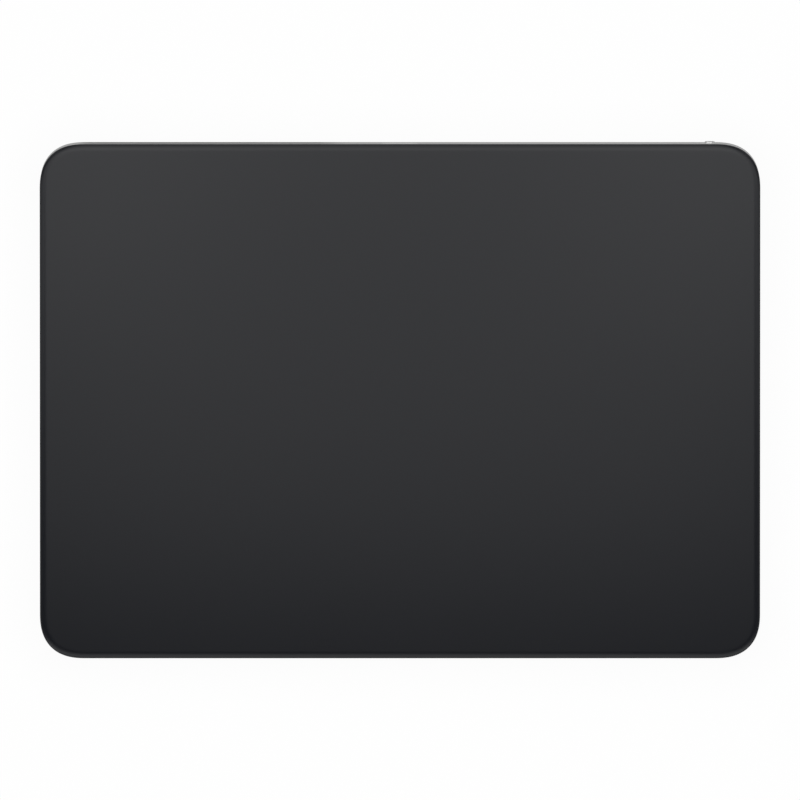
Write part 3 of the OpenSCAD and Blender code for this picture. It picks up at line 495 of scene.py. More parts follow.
def grain_group():
    """Fine grain: a colour, a roughness and a height that vary from grain to grain"""
    name = "Fine grain"
    if name in bpy.data.node_groups:
        return bpy.data.node_groups[name]
    tree = bpy.data.node_groups.new(name, "ShaderNodeTree")
    group_socket(tree, "Dark", "Color", "INPUT")
    group_socket(tree, "Light", "Color", "INPUT")
    group_socket(tree, "Grain", "Float", "INPUT", 4000.0)
    group_socket(tree, "Patch", "Float", "INPUT", 40.0)
    group_socket(tree, "Smooth", "Float", "INPUT", 0.3)
    group_socket(tree, "Rough", "Float", "INPUT", 0.5)
    group_socket(tree, "Stretch", "Vector", "INPUT", (1.0, 1.0, 1.0))
    group_socket(tree, "Color", "Color", "OUTPUT")
    group_socket(tree, "Roughness", "Float", "OUTPUT")
    group_socket(tree, "Height", "Float", "OUTPUT")
    given = tree.nodes.new("NodeGroupInput").outputs
    place = object_place(tree)
    drawn = calculate_vector(tree, "MULTIPLY", place, given["Stretch"])
    grain = put(tree, "ShaderNodeTexNoise", {
        "Vector": drawn, "Scale": given["Grain"], "Detail": 2.0, "Roughness": 0.6}).outputs["Fac"]
    patch = put(tree, "ShaderNodeTexNoise", {
        "Vector": place, "Scale": given["Patch"], "Detail": 3.0, "Roughness": 0.5}).outputs["Fac"]
    patches = calculate(tree, "MULTIPLY", patch, 1 - GRAIN_SHARE)
    blend = calculate(tree, "MULTIPLY_ADD", grain, GRAIN_SHARE, patches)
    gloss = put(tree, "ShaderNodeMapRange", {
        "Value": blend, "From Min": GLOSS_SPAN[0], "From Max": GLOSS_SPAN[1],
        "To Min": given["Smooth"], "To Max": given["Rough"]})
    result = tree.nodes.new("NodeGroupOutput").inputs
    tree.links.new(mix_colours(tree, blend, given["Dark"], given["Light"]), result["Color"])
    tree.links.new(gloss.outputs["Result"], result["Roughness"])
    tree.links.new(grain, result["Height"])
    return tree


# Finishes

def shade(value, share):
    return (*(min(1.0, part * share) for part in value), 1.0)


def new_material(name):
    material = bpy.data.materials.new(name)
    material.use_nodes = True
    tree = material.node_tree
    return material, tree, tree.nodes["Principled BSDF"]


def grained(name, base, spread, grain, patch, gloss, bump=0.0, depth=0.0, metallic=0.0, stretch=(1, 1, 1)):
    """Material with fine grain

    Spread is how far the colour varies, grain and patch are about how many there are to a metre, gloss is a
    range of roughness, and bump and depth are the strength and height of the grain's relief.
    """
    material, tree, shader = new_material(name)
    detail = put(tree, "ShaderNodeGroup", node_tree=grain_group())
    for socket, value in {
        "Dark": shade(base, 1 - spread), "Light": shade(base, 1 + spread), "Grain": grain, "Patch": patch,
        "Smooth": gloss[0], "Rough": gloss[1], "Stretch": stretch,
    }.items():
        detail.inputs[socket].default_value = value
    tree.links.new(detail.outputs["Color"], shader.inputs["Base Color"])
    tree.links.new(detail.outputs["Roughness"], shader.inputs["Roughness"])
    shader.inputs["Metallic"].default_value = metallic
    if bump:
        emboss(tree, detail.outputs["Height"], bump, depth)
    return material


def once(make):
    """Builds a material at its first use and gives back the same one after that"""
    kept = {}

    def get(*values):
        if not kept:
            kept["it"] = make(*values)
        return kept["it"]
    return get


@once
def etched_glass(colours):
    return grained(
        "etched_black_glass", colours.glass, spread=0.12, grain=6000, patch=35, gloss=(0.27, 0.30),
        bump=0.04, depth=0.00002)


@once
def blasted_silver(colours):
    return grained(
        "blasted_silver", colours.silver, spread=0.05, grain=9000, patch=60, gloss=(0.30, 0.40),
        bump=0.10, depth=0.00002, metallic=1.0)


@once
def foot_rubber(colours):
    return grained(
        "foot_rubber", colours.foot, spread=0.10, grain=3000, patch=200, gloss=(0.72, 0.88),
        bump=0.12, depth=0.00003)


@once
def sheet_steel(colours):
    return grained(
        "sheet_steel", colours.steel, spread=0.10, grain=5000, patch=90, gloss=(0.22, 0.36),
        bump=0.06, depth=0.00002, metallic=1.0, stretch=(0.06, 1, 1))


@once
def black_plastic(colours):
    return grained(
        "black_plastic", colours.plastic, spread=0.20, grain=2500, patch=120, gloss=(0.42, 0.58),
        bump=0.08, depth=0.00002)


@once
def black_film(colours):
    return grained("black_film", colours.film, spread=0.18, grain=1800, patch=60, gloss=(0.55, 0.72))


@once
def core_steel(colours):
    return grained(
        "laminated_core", colours.core, spread=0.16, grain=6000, patch=80, gloss=(0.32, 0.50),
        bump=0.10, depth=0.00003, metallic=1.0, stretch=(0.05, 0.05, 1))


@once
def gold_plate(colours):
    return grained(
        "gold_plate", colours.gold, spread=0.06, grain=7000, patch=150, gloss=(0.18, 0.30), metallic=1.0)


@once
def amber_film(colours):
    return grained(
        "amber_film", colours.amber, spread=0.14, grain=900, patch=45, gloss=(0.22, 0.38),
        stretch=(1, 0.08, 1))


@once
def silicone_gel(colours):
    return grained("silicone_gel", colours.gel, spread=0.08, grain=1500, patch=120, gloss=(0.28, 0.45))


@once
def cell_pouch(colours):
    return grained(
        "cell_pouch", colours.pouch, spread=0.15, grain=1400, patch=30, gloss=(0.30, 0.48),
        bump=0.10, depth=0.00005)


# Turns of wire on a coil: scale of the pattern, and strength and height in metres of its relief
WIRE_SCALE = 1100
WIRE_BUMP = 0.5
WIRE_DEPTH = 0.00008


@once
def copper_winding(colours):
    """Turns of enamelled wire laid side by side along the coil"""
    material = grained(
        "copper_winding", colours.copper, spread=0.12, grain=3000, patch=90, gloss=(0.22, 0.36),
        metallic=1.0)
    tree = material.node_tree
    turns = put(tree, "ShaderNodeTexWave", {
        "Vector": object_place(tree), "Scale": WIRE_SCALE}, bands_direction="X")
    emboss(tree, turns.outputs["Fac"], WIRE_BUMP, WIRE_DEPTH)
    return material


# Tracks on a board: pattern, and strength and height in metres of its relief
TRACKS = {"Scale": 260, "Mortar Size": 0.06, "Brick Width": 0.9, "Row Height": 0.22}
TRACK_BUMP = 0.25
TRACK_DEPTH = 0.00004


@once
def solder_mask(colours):
    """Green board with raised tracks under its lacquer"""
    material = grained(
        "solder_mask", colours.board, spread=0.14, grain=2200, patch=70, gloss=(0.30, 0.44))
    tree = material.node_tree
    tracks = put(tree, "ShaderNodeTexBrick", {"Vector": object_place(tree), **TRACKS})
    emboss(tree, tracks.outputs["Fac"], TRACK_BUMP, TRACK_DEPTH)
    return material


@once
def switch_shutter(colours, middle):
    """Black shutter whose right half is green, so that it shows when the switch has slid"""
    material = grained(
        "switch_shutter", colours.plastic, spread=0.20, grain=2500, patch=120, gloss=(0.42, 0.58))
    tree = material.node_tree
    tint = tree.nodes["Principled BSDF"].inputs["Base Color"]
    plain = tint.links[0].from_socket
    across = put(tree, "ShaderNodeSeparateXYZ", {"Vector": object_place(tree)}).outputs["X"]
    right = calculate(tree, "GREATER_THAN", across, middle)
    tree.links.new(mix_colours(tree, right, plain, (*colours.switched_on, 1.0)), tint)
    return material


# Pieces

def settings(context):
    sizes = context.scene.trackpad_sizes
    return sizes, context.scene.trackpad_colours, Deck(sizes)


def switch_slot(sizes):
    """Middle, width and height of the slot that the switch slides in"""
    width = sizes.nub_width + sizes.switch_travel + 2 * sizes.slide_fit
    height = sizes.nub_height + 2 * sizes.slide_fit
    middle = sizes.width / 2 - sizes.nub_inset - sizes.switch_travel / 2
    return middle, width, height


# Ends of the names of pieces that stand at each corner
CORNERS = ("front_left", "front_right", "rear_left", "rear_right")

# Levels of the tops of the posts on the tray's floor, and their radii, in metres
SPRING_TOP = -0.0031
MOTOR_TOP = -0.0058
BOARD_TOP = -0.00688
SPRING_POST = 0.0028
SCREW_POST = 0.00205

# Posts, in metres on the deck: x, y, level of the top and radius
SIDES = (-1, 1)
SPRING_POSTS = [(side * 0.0535, y, SPRING_TOP, SPRING_POST) for side in SIDES for y in (-0.0442, 0.0442)]
MOTOR_POSTS = [(side * 0.0175, y, MOTOR_TOP, SCREW_POST) for side in SIDES for y in (0.01305, 0.03695)]
BOARD_POSTS = [
    (side * x, y, BOARD_TOP, SCREW_POST)
    for x, y in ((0.03995, 0.04585), (0.00797, 0.05225)) for side in SIDES]
SWITCH_POST = (0.0687, 0.0497, BOARD_TOP, SCREW_POST)
REST_POST = (0.064, 0.0497, BOARD_TOP, SCREW_POST)

# Places of the ribs that run from front to back, in pitches from the middle
RIB_PLACES = (-1.5, -0.5, 0.5, 1.5)


class TRACKPAD_OT_tray(bpy.types.Operator):
    """Makes the silver tray with its rolled lower edge, posts, ribs, port opening and switch slot"""

    bl_idname = "trackpad.tray"
    bl_label = "Tray"

    def execute(self, context):
        sizes, colours, deck = settings(context)
        tray = self.shell(sizes, deck)
        self.inside(tray, sizes, deck)
        self.back_wall(tray, sizes, deck)
        deck.carry(tray)
        fit(tray, blasted_silver(colours), "silver_aluminium", "enclosure")
        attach(tray, "base")
        return {"FINISHED"}

    def shell(self, sizes, deck):
        rim = -sizes.rim_drop
        tray = wedge("tray", sizes, deck, 0, rim, sizes.ground_gap)

        def underneath(edge):
            return all(abs(deck.height(point.co) - sizes.ground_gap) < NEAR for point in edge.verts)

        with Editing(tray) as edit:
            edit.bevel(underneath, sizes.bottom_round, EDGE_STEPS)
            edit.bevel(lies_at("Z", rim), sizes.rim_round, LIP_STEPS)
            edit.pick("FACE", lambda face: face.normal.dot(deck.up) < -PARALLEL)
            bpy.ops.mesh.inset(thickness=sizes.cover_border - sizes.bottom_round)
            bpy.ops.mesh.extrude_region_move(
                TRANSFORM_OT_translate={"value": deck.up * sizes.cover_recess})
        cut(tray, wedge("hollow", sizes, deck, sizes.wall, sizes.back_height, sizes.floor_height))
        return tray

    def inside(self, tray, sizes, deck):
        in_floor = sizes.floor_height - sizes.floor_bite
        side = sizes.width / 2 - sizes.wall + sizes.floor_bite
        front = -sizes.depth / 2 + sizes.wall
        half = sizes.rib_thickness / 2
        top = -sizes.rib_drop
        bottom = top - sizes.back_height
        ribs = [block("rib", (-side, sizes.rib_back - 2 * half, bottom), (side, sizes.rib_back, top))]
        for place in RIB_PLACES:
            x = place * sizes.rib_pitch
            ribs.append(block("rib", (x - half, front, bottom), (x + half, sizes.rib_back - half, top)))
        for rib in ribs:
            with Editing(rib) as edit:
                edit.level_off(deck, in_floor)
        add(tray, *ribs)

        screw_posts = (*MOTOR_POSTS, *BOARD_POSTS, SWITCH_POST)
        for x, y, level, radius in (*SPRING_POSTS, *screw_posts, REST_POST):
            foot = deck.level(in_floor) - y * math.tan(deck.tilt)
            add(tray, disc("post", x, y, foot, level, radius, POST_STEPS))
        hole, bite = sizes.hole_radius, sizes.hole_depth
        for x, y, level, _ in screw_posts:
            cut(tray, disc("hole", x, y, level - bite, level + bite, hole, POST_STEPS))
        seat = -sizes.spring_seat
        for x, y, level, _ in SPRING_POSTS:
            cut(tray, disc("head_hole", x, y, seat - sizes.back_height, seat, sizes.head_radius, POST_STEPS))
            cut(tray, disc("hole", x, y, seat - bite, level + bite, hole, POST_STEPS))

    def back_wall(self, tray, sizes, deck):
        back = sizes.depth / 2 - SKIN
        inner = back - sizes.wall
        past = sizes.wall / 2
        level = -sizes.edge_drop
        port_width = sizes.port_width + 2 * sizes.opening_fit
        port_height = sizes.port_height + 2 * sizes.opening_fit
        slot_x, slot_width, slot_height = switch_slot(sizes)
        pocket_x = slot_width / 2 + sizes.switch_travel + sizes.pocket_lap + sizes.slide_fit
        pocket_z = slot_height / 2 + sizes.pocket_lap + sizes.slide_fit
        cut(
            tray,
            bar("port_opening", 0, level, port_width, port_height, inner - past, back + past),
            bar("slot_opening", slot_x, level, slot_width, slot_height, inner - past, back + past),
            block(
                "switch_pocket", (slot_x - pocket_x, inner - past, level - pocket_z),
                (slot_x + pocket_x, inner + sizes.pocket_depth, level + pocket_z)),
        )
        at_back = lies_at("Y", back)

        def mouth(middle, width):
            def test(edge):
                near = all(abs(point.co.x - middle) < width for point in edge.verts)
                low = all(point.co.z < -sizes.rim_drop - 2 * sizes.rim_round for point in edge.verts)
                high = all(deck.height(point.co) > sizes.floor_height for point in edge.verts)
                return near and low and high and at_back(edge)
            return test

        with Editing(tray) as edit:
            edit.merge()
            edit.bevel(mouth(0, sizes.port_width), sizes.rim_round, LIP_STEPS)
            edit.bevel(mouth(slot_x, slot_width), sizes.rim_round / 2, LIP_STEPS)


class TRACKPAD_OT_touch_glass(bpy.types.Operator):
    """Makes the black glass with its rounded edge"""

    bl_idname = "trackpad.touch_glass"
    bl_label = "Touch glass"

    def execute(self, context):
        sizes, colours, deck = settings(context)
        x, y = sizes.width / 2 - SKIN, sizes.depth / 2 - SKIN
        # The edge is rounded as a quarter circle and then pressed to its real height
        arc = sizes.glass_round_width
        low = -arc - sizes.glass_thickness + sizes.glass_round_height
        glass = block("touch_glass", (-x, -y, low), (x, y, 0))
        with Editing(glass) as edit:
            edit.bevel(
                runs_along("Z"), sizes.corner_reach, CORNER_STEPS, corner_profile(sizes.corner_power))
            edit.bevel(lies_at("Z", low), sizes.glass_chamfer, CHAMFER_STEPS)
            edit.bevel(lies_at("Z", 0), arc, EDGE_STEPS)
            edit.pick("FACE", lambda face: face.normal.z > PARALLEL)
            bpy.ops.mesh.inset(thickness=sizes.glass_ring)
            edit.pick("VERT", lambda point: point.co.z > -arc - CLOSE)
            bpy.ops.transform.resize(
                value=(1, 1, sizes.glass_round_height / arc), center_override=(0, 0, -arc))
            bpy.ops.mesh.select_all(action="SELECT")
            bpy.ops.transform.translate(value=(0, 0, arc - sizes.glass_round_height - SKIN))
        deck.carry(glass)
        fit(glass, etched_glass(colours), "black_glass", "glass")
        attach(glass, "touch_plate")
        return {"FINISHED"}


class TRACKPAD_OT_underside(bpy.types.Operator):
    """Makes the bottom cover and the four rubber feet that sit in its pockets"""

    bl_idname = "trackpad.underside"
    bl_label = "Underside"

    def execute(self, context):
        sizes, colours = context.scene.trackpad_sizes, context.scene.trackpad_colours
        low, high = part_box("bottom_cover")
        cover = block("cover_plate", low, high)
        with Editing(cover) as edit:
            edit.bevel(
                runs_along("Z"), sizes.corner_reach - sizes.cover_border - sizes.cover_seam, CORNER_STEPS,
                corner_profile(sizes.corner_power))
            edit.bevel(lies_at("Z", low.z), sizes.cover_round, LIP_STEPS)

        feet = []
        for corner in CORNERS:
            under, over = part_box("foot_" + corner)
            x, y = (under.x + over.x) / 2, (under.y + over.y) / 2
            radius = (over.x - under.x) / 2
            cut(cover, disc("foot_pocket", x, y, low.z - sizes.ground_gap, over.z, radius + sizes.foot_fit))
            name = "rubber_foot_" + corner
            if not feet:
                foot = disc(name, x, y, under.z, over.z, radius)
                with Editing(foot) as edit:
                    edit.bevel(lies_at("Z", under.z), sizes.foot_round, LIP_STEPS + 1)
                first = Vector((x, y, 0))
            else:
                foot = copy_piece(feet[0], name)
                foot.location = Vector((x, y, 0)) - first
                settle()
            feet.append(foot)
        fit(cover, blasted_silver(colours), "silver_aluminium", "bottom_cover")
        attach(cover, "base")
        for foot, corner in zip(feet, CORNERS):
            fit(foot, foot_rubber(colours), "foot_rubber", "foot_" + corner)
            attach(foot, "base")
        return {"FINISHED"}


class TRACKPAD_OT_charging_port(bpy.types.Operator):
    """Makes the port's rolled steel shell and the plastic tongue inside it"""

    bl_idname = "trackpad.charging_port"
    bl_label = "Charging port"

    def execute(self, context):
        sizes, colours, deck = settings(context)
        mouth = sizes.depth / 2 - sizes.port_recess
        end = mouth - sizes.port_length
        level = -sizes.edge_drop
        sheet = sizes.port_sheet

        shell = bar("port_sleeve", 0, level, sizes.port_width, sizes.port_height, end, mouth)
        with Editing(shell) as edit:
            edit.pick("FACE", lambda face: abs(face.normal.y) > PARALLEL)
            bpy.ops.mesh.inset(thickness=sheet)
            bpy.ops.mesh.bridge_edge_loops()
            edit.bevel(lies_at("Y", mouth), sizes.port_lip, LIP_STEPS)
        deck.carry(shell)
        fit(shell, sheet_steel(colours), "steel", "port_shell")
        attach(shell, "base")

        plug = bar(
            "tongue_plug", 0, level, sizes.port_width - 2 * sheet, sizes.port_height - 2 * sheet,
            end, end + sizes.port_plug)
        tip = mouth - sizes.tongue_recess
        half_x, half_z = sizes.tongue_width / 2, sizes.tongue_height / 2
        tongue = block(
            "tongue", (-half_x, end + sizes.port_plug / 2, level - half_z), (half_x, tip, level + half_z))
        with Editing(tongue) as edit:
            edit.bevel(lies_at("Y", tip), sizes.tongue_round, LIP_STEPS)
        show_only(tongue)
        plug.select_set(True)
        bpy.ops.object.join()
        tongue = name_piece("port_tongue_moulding")
        deck.carry(tongue)
        fit(tongue, black_plastic(colours), "black_plastic", "port_tongue")
        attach(tongue, "base")
        return {"FINISHED"}


class TRACKPAD_OT_power_switch(bpy.types.Operator):
    """Makes the nub of the power switch, and tints the shutter behind it"""

    bl_idname = "trackpad.power_switch"
    bl_label = "Power switch"

    def execute(self, context):
        sizes, colours, deck = settings(context)
        inner = sizes.depth / 2 - sizes.wall + sizes.pocket_depth - sizes.slide_fit
        outer = sizes.depth / 2 + sizes.nub_proud
        x = sizes.width / 2 - sizes.nub_inset
        nub = bar("switch_nub", x, -sizes.edge_drop, sizes.nub_width, sizes.nub_height, inner, outer)
        with Editing(nub) as edit:
            edit.bevel(lies_at("Y", outer), sizes.nub_round, LIP_STEPS + 1)
        deck.carry(nub)
        fit(nub, blasted_silver(colours), "silver_aluminium", "switch_knob")
        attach(nub, "power_switch")
        give(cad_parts["switch_slider"], switch_shutter(colours, x))
        return {"FINISHED"}


class TRACKPAD_OT_touch_ribbon(bpy.types.Operator):
    """Makes the folded ribbon between the boards in two halves"""

    bl_idname = "trackpad.touch_ribbon"
    bl_label = "Touch ribbon"

    def execute(self, context):
        sizes, colours, deck = settings(context)
        left, right = (corner.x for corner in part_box("touch_lead"))
        fold = sizes.depth / 2 - sizes.ribbon_fold
        lower, upper = -sizes.ribbon_lower, -sizes.ribbon_upper
        middle = (lower + upper) / 2
        tip = fold - (upper - lower) / 2
        half = sizes.ribbon_thickness / 2
        first = block(
            "ribbon_lower", (left, fold, lower - half), (right, fold + sizes.ribbon_leg, lower + half))
        with Editing(first) as edit:
            edit.pick("FACE", lambda face: face.normal.y < -PARALLEL)
            bpy.ops.mesh.spin(
                steps=EDGE_STEPS, angle=math.pi / 2, center=(0, fold, middle), axis=(1, 0, 0))
            edit.face_out()
        second = copy_piece(first, "ribbon_upper")
        second.scale.z = -1
        second.location.z = 2 * middle
        settle()
        with Editing(second) as edit:
            edit.face_out()
        for strip in (first, second):
            deck.carry(strip)
            fit(strip, amber_film(colours), "amber_film", "touch_lead")
        crest = deck.point(0, tip, middle)
        deck.point(0, fold, lower)
        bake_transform(first)
        deck.point(0, fold, upper)
        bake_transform(second)
        return {"FINISHED"}


class TRACKPAD_OT_spring_arms(bpy.types.Operator):
    """Makes the four spring arms, cut into steps between the strain gauges and the gel pads"""

    bl_idname = "trackpad.spring_arms"
    bl_label = "Spring arms"

    def execute(self, context):
        colours = context.scene.trackpad_colours
        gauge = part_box("strain_gauges")[1].x
        for corner in CORNERS:
            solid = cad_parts["flexure_" + corner]
            arm = bpy.data.objects.new("spring_arm_" + corner, solid.data.copy())
            context.collection.objects.link(arm)
            low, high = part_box("gel_pad_" + corner)
            side = math.copysign(1, low.x)
            pad = min(abs(low.x), abs(high.x))
            with Editing(arm) as edit:
                bpy.ops.mesh.customdata_custom_splitnormals_clear()
                edit.merge()
                for step in range(BEND_STEPS + 1):
                    x = side * (gauge + (pad - gauge) * step / BEND_STEPS)
                    bpy.ops.mesh.select_all(action="SELECT")
                    bpy.ops.mesh.bisect(plane_co=(x, 0, 0), plane_no=(1, 0, 0))
            fit(arm, sheet_steel(colours), "steel", "flexure_" + corner)
            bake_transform(arm)
        return {"FINISHED"}


INSIDE = {
    black_film: ("cover_bond", "glass_bond", "battery_tape"),
    solder_mask: ("sensor_board", "battery_board", "logic_board", "switch_board"),
    black_plastic: (
        "touch_controller", "touch_connector", "processor_chip", "charger_chip", "driver_chip",
        "board_sockets", "switch_socket"),
    sheet_steel: (
        "support_plate", "armature_screws", "flexure_screws", "haptic_frame", "haptic_screws",
        "battery_tabs", "radio_shield", "board_screws", "switch_body", "switch_screw"),
    core_steel: ("armature", "haptic_core_left", "haptic_core_right"),
    copper_winding: ("haptic_coil_left", "haptic_coil_right"),
    gold_plate: ("antenna", "port_contacts"),
    amber_film: ("strain_gauges", "haptic_lead", "battery_lead", "switch_lead"),
    silicone_gel: ["gel_pad_" + corner for corner in CORNERS],
    cell_pouch: ("battery_cell_left", "battery_cell_right"),
}


class TRACKPAD_OT_inside(bpy.types.Operator):
    """Finishes the solids inside the tray"""

    bl_idname = "trackpad.inside"
    bl_label = "Inside"

    def execute(self, context):
        colours = context.scene.trackpad_colours
        for finish, nodes in INSIDE.items():
            for node in nodes:
                give(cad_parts[node], finish(colours))
        return {"FINISHED"}


# Stage

# Camera: lens and sensor in millimetres and lean to the back in degrees, then in metres the width of its view
# at the middle of the touch surface, how far behind that middle it aims, and how far it sees
LENS = 1500
SENSOR = 36
CAMERA_LEAN = 0.4
VIEW_WIDTH = 0.17767
CAMERA_AIM = 0.00016
CAMERA_REACH = 50

# Soft boxes: name, middle, what it faces, width, depth and brightness
SOFT_BOXES = (
    ("overhead_box", (0, 0.177, 0.29), (0, 0.177, 0), 0.22, 0.506, 0.90),
    ("rear_strip", (0, 0.090, 0.285), (0, 0.090, 0), 0.60, 0.08, 0.56),
    ("rear_left_box", (-0.13, 0.10, 0.28), (-0.13, 0.10, 0), 0.16, 0.22, 0.52),
    ("rear_right_box", (0.13, 0.10, 0.28), (0.13, 0.10, 0), 0.16, 0.22, 0.52),
    ("front_box", (0, -0.35, 0.37), (0, 0, 0), 0.70, 0.28, 0.85),
    ("left_strip", (-0.30, 0, 0.29), (-0.08, 0, 0), 0.08, 0.30, 0.80),
    ("right_strip", (0.30, 0, 0.29), (0.08, 0, 0), 0.08, 0.30, 0.80),
    ("corner_front_left", (-0.55, -0.55, 0.50), (0, 0, 0), 0.30, 0.30, 0.90),
    ("corner_front_right", (0.55, -0.55, 0.50), (0, 0, 0), 0.30, 0.30, 0.90),
    ("corner_back_left", (-0.55, 0.55, 0.50), (0, 0, 0), 0.30, 0.30, 0.80),
    ("corner_back_right", (0.55, 0.55, 0.50), (0, 0, 0), 0.30, 0.30, 0.90),
)

# Room: brightness low down and overhead, the heights that it changes between and the height that the white
# backdrop fades over, on a globe with a radius of one
AMBIENT_LOW = 0.60
AMBIENT_TOP = 0.06
AMBIENT_SPAN = (0.2, 0.9)
BACKDROP_SPAN = (0.0, 0.10)

# Floor: radius and gap below the feet in metres, shares of its colour that its faint clouds vary between,
# the scale of the clouds, and roughness
FLOOR_RADIUS = 2.6
FLOOR_GAP = 0.00002
FLOOR_TINTS = (0.99, 1.01)
FLOOR_CLOUDS = 3
FLOOR_ROUGHNESS = 0.9

# The floor changes with the distance from the part's outline, in metres: how white the camera sees it, how
# bright it is in reflections, and how clear to soft light. Its glow in reflections is painted: a painted
# shadow in a ring round the part, and painted light under the part. The corners of that outline are round,
# with FLOOR_CORNER as their radius.
FLOOR_CORNER = 0.0086
FLOOR_WHITE = ((-0.0018, 0.0), (-0.0003, 0.955), (0.010, 0.985))
FLOOR_REFLECTION_PAINTED_SHADOW = ((-0.0017, 0.60), (-0.0006, 0.40), (0.0017, 0.40), (0.0080, 0.60), (0.0680, 0.80))
FLOOR_CLEAR = ((-0.0030, 1.0), (-0.0020, 0.0))

# Just behind the part its brightness in reflections also changes from left to right, a painted shade that is
# darker on the left. The reach is the share of that painted shade at distances from the back edge.
FLOOR_PAINTED_SHADE_BEHIND = ((-0.0720, 1.0), (-0.0690, 0.28), (-0.0180, 0.38), (-0.0120, 0.94), (0.0800, 1.0))
PAINTED_SHADE_REACH = ((-0.0086, 0.0), (0.0, 1.0), (0.0025, 1.0), (0.0060, 0.0))


def ray_masks(tree):
    """Masks of the rays that come straight from the camera, and of those by gloss or through clear glass"""
    path = put(tree, "ShaderNodeLightPath").outputs
    shiny = calculate(tree, "MAXIMUM", path["Is Glossy Ray"], path["Is Transmission Ray"])
    return path["Is Camera Ray"], shiny


def outline_distance(tree, place, sizes):
    """Distance of a place on the floor from the part's outline, less than zero under the part"""
    inner = (sizes.width / 2 - FLOOR_CORNER, sizes.depth / 2 - FLOOR_CORNER, 0)
    across = calculate_vector(tree, "ABSOLUTE", place)
    outside = calculate_vector(tree, "SUBTRACT", across, inner)
    beyond = calculate_vector(tree, "MAXIMUM", outside, (0, 0, 0))
    past = calculate_vector(tree, "LENGTH", beyond, result="Value")
    return calculate(tree, "SUBTRACT", past, FLOOR_CORNER)


def painted_shade_behind(tree, place, sizes):
    """Share of its brightness in reflections that the floor keeps, less just behind the part as a painted
    shade that is darker on the left
    """
    spot = put(tree, "ShaderNodeSeparateXYZ", {"Vector": place}).outputs
    reach = [(sizes.depth / 2 + away, amount) for away, amount in PAINTED_SHADE_REACH]
    return put(tree, "ShaderNodeMapRange", {
        "Value": graded(tree, spot["Y"], reach), "To Min": 1.0,
        "To Max": graded(tree, spot["X"], FLOOR_PAINTED_SHADE_BEHIND)}).outputs["Result"]


def pale_floor(sizes, colours):
    """Floor that is white to the camera and pale in reflections, and keeps the part's shadow; in reflections
    it has a painted shadow round the part, painted light under it and painted shade behind it
    """
    material, tree, shader = new_material("pale_floor")
    place = object_place(tree)
    cloud = put(tree, "ShaderNodeTexNoise", {"Vector": place, "Scale": FLOOR_CLOUDS, "Detail": 2.0})
    dark, light = (shade(colours.floor, share) for share in FLOOR_TINTS)
    tree.links.new(mix_colours(tree, cloud.outputs["Fac"], dark, light), shader.inputs["Base Color"])
    shader.inputs["Roughness"].default_value = FLOOR_ROUGHNESS
    shader.inputs["Specular IOR Level"].default_value = 0.0

    camera, shiny = ray_masks(tree)
    distance = outline_distance(tree, place, sizes)
    # Painted shadow in reflections: the floor glows less in a ring round the part and behind it on the left,
    # and more under the part as painted light
    ring = graded(tree, distance, FLOOR_REFLECTION_PAINTED_SHADOW)
    painted_reflection_glow = calculate(tree, "MULTIPLY", ring, painted_shade_behind(tree, place, sizes))
    bright = calculate(tree, "MULTIPLY_ADD", shiny, painted_reflection_glow, camera)
    glow = put(tree, "ShaderNodeEmission", {"Color": (1, 1, 1, 1), "Strength": bright}).outputs["Emission"]
    amount = calculate(tree, "MULTIPLY_ADD", camera, graded(tree, distance, FLOOR_WHITE), shiny)
    lit = mix_shaders(tree, amount, shader.outputs["BSDF"], glow)

    # Clear from below, and to soft light on the feet, so that the underside can be looked at
    soft = put(tree, "ShaderNodeLightPath").outputs["Is Diffuse Ray"]
    below = calculate(tree, "MULTIPLY", soft, graded(tree, distance, FLOOR_CLEAR))
    under = calculate(tree, "MAXIMUM", below, put(tree, "ShaderNodeNewGeometry").outputs["Backfacing"])
    clear = put(tree, "ShaderNodeBsdfTransparent").outputs["BSDF"]
    tree.links.new(mix_shaders(tree, under, lit, clear), tree.nodes["Material Output"].inputs["Surface"])
    return material


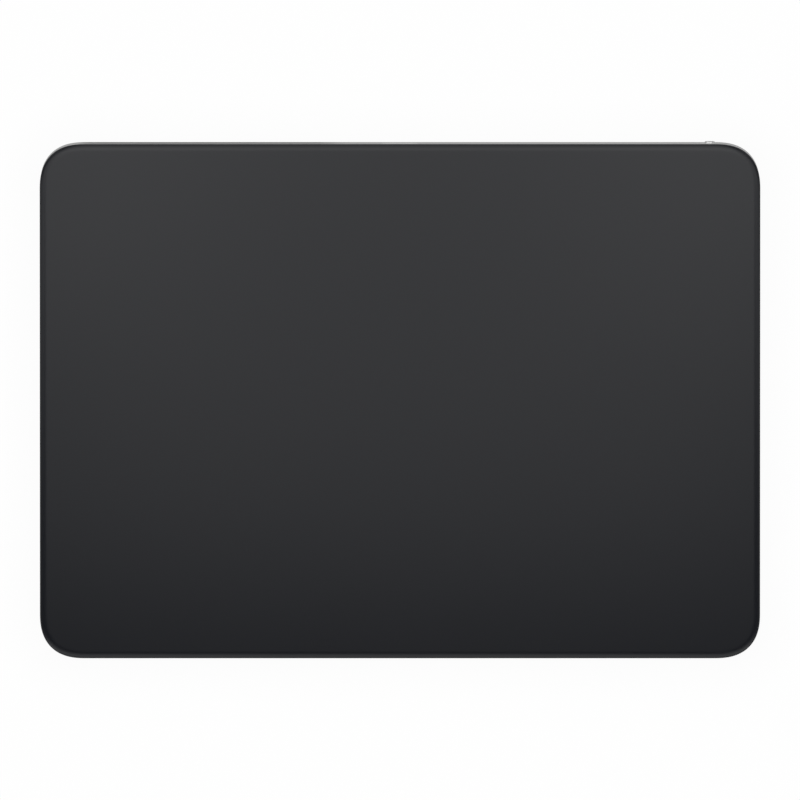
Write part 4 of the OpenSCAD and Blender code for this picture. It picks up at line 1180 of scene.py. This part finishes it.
class TRACKPAD_OT_stage(bpy.types.Operator):
    """Sets up the pale floor, the soft boxes, the backdrop and the camera above the touch plate"""

    bl_idname = "trackpad.stage"
    bl_label = "Stage"

    def execute(self, context):
        sizes, colours, deck = settings(context)
        self.lay_floor(sizes, colours)
        self.hang_lights()
        self.light_world(context)
        self.set_camera(context, deck)
        context.scene.view_settings.view_transform = "Standard"
        return {"FINISHED"}

    def lay_floor(self, sizes, colours):
        bpy.ops.object.select_all(action="DESELECT")
        bpy.ops.mesh.primitive_circle_add(
            vertices=DISC_STEPS, radius=FLOOR_RADIUS, fill_type="NGON", location=(0, 0, -FLOOR_GAP))
        floor = name_piece("floor")
        floor.data.materials.append(pale_floor(sizes, colours))

    def hang_lights(self):
        for name, middle, target, width, depth, brightness in SOFT_BOXES:
            aim = Vector(target) - Vector(middle)
            bpy.ops.object.light_add(
                type="AREA", location=middle, rotation=aim.to_track_quat("-Z", "Y").to_euler())
            lamp = bpy.context.active_object
            lamp.name = name
            lamp.data.shape = "RECTANGLE"
            lamp.data.size = width
            lamp.data.size_y = depth
            # Power goes with the area, so that brightness means the same on lamps of any size
            lamp.data.energy = brightness * math.pi * width * depth
            lamp.visible_camera = False

    def light_world(self, context):
        """Soft grey room whose lower part is a white backdrop to the camera and in reflections"""
        world = bpy.data.worlds.new("studio_room")
        context.scene.world = world
        world.use_nodes = True
        tree = world.node_tree
        way = put(tree, "ShaderNodeTexCoord").outputs["Generated"]
        rise = put(tree, "ShaderNodeSeparateXYZ", {"Vector": way}).outputs["Z"]
        backdrop = eased(tree, rise, BACKDROP_SPAN, (1.0, 0.0))
        room = eased(tree, rise, AMBIENT_SPAN, (AMBIENT_LOW, AMBIENT_TOP))
        camera, shiny = ray_masks(tree)
        white = calculate(tree, "MAXIMUM", camera, calculate(tree, "MULTIPLY", shiny, backdrop))
        level = put(tree, "ShaderNodeMapRange", {"Value": white, "To Min": room, "To Max": 1.0})
        background = tree.nodes["Background"].inputs
        tree.links.new(level.outputs["Result"], background["Strength"])
        background["Color"].default_value = (1, 1, 1, 1)

    def set_camera(self, context, deck):
        lean = math.radians(CAMERA_LEAN)
        away = LENS * VIEW_WIDTH / SENSOR * Vector((0, math.sin(lean), math.cos(lean)))
        bpy.ops.object.camera_add(location=Vector((0, CAMERA_AIM, deck.z)) + away, rotation=(-lean, 0, 0))
        camera = context.active_object
        camera.name = "camera_above"
        camera.data.lens = LENS
        camera.data.sensor_width = SENSOR
        camera.data.clip_end = CAMERA_REACH
        context.scene.camera = camera


# Add-on

PIECES = (
    TRACKPAD_OT_stage, TRACKPAD_OT_tray, TRACKPAD_OT_touch_glass, TRACKPAD_OT_underside,
    TRACKPAD_OT_charging_port, TRACKPAD_OT_power_switch, TRACKPAD_OT_touch_ribbon, TRACKPAD_OT_spring_arms,
    TRACKPAD_OT_inside,
)


class TRACKPAD_PT_panel(bpy.types.Panel):
    """Lists the sizes, the colours and the pieces"""

    bl_idname = "TRACKPAD_PT_panel"
    bl_label = "Desk trackpad"
    bl_space_type = "VIEW_3D"
    bl_region_type = "UI"
    bl_category = "Trackpad"

    def draw(self, context):
        for group in (context.scene.trackpad_sizes, context.scene.trackpad_colours):
            box = self.layout.box()
            for name in group.bl_rna.properties.keys():
                if name not in {"rna_type", "name"}:
                    box.prop(group, name)
        for piece in PIECES:
            self.layout.operator(piece.bl_idname)


CLASSES = (TrackpadSizes, TrackpadColours, *PIECES, TRACKPAD_PT_panel)


def register():
    for item in CLASSES:
        bpy.utils.register_class(item)
    bpy.types.Scene.trackpad_sizes = bpy.props.PointerProperty(type=TrackpadSizes)
    bpy.types.Scene.trackpad_colours = bpy.props.PointerProperty(type=TrackpadColours)


def unregister():
    del bpy.types.Scene.trackpad_sizes
    del bpy.types.Scene.trackpad_colours
    for item in reversed(CLASSES):
        bpy.utils.unregister_class(item)


def main():
    register()
    bpy.ops.trackpad.stage()
    bpy.ops.trackpad.tray()
    bpy.ops.trackpad.touch_glass()
    bpy.ops.trackpad.underside()
    bpy.ops.trackpad.charging_port()
    bpy.ops.trackpad.power_switch()
    bpy.ops.trackpad.touch_ribbon()
    bpy.ops.trackpad.spring_arms()
    bpy.ops.trackpad.inside()


if __name__ == "__main__":
    main()
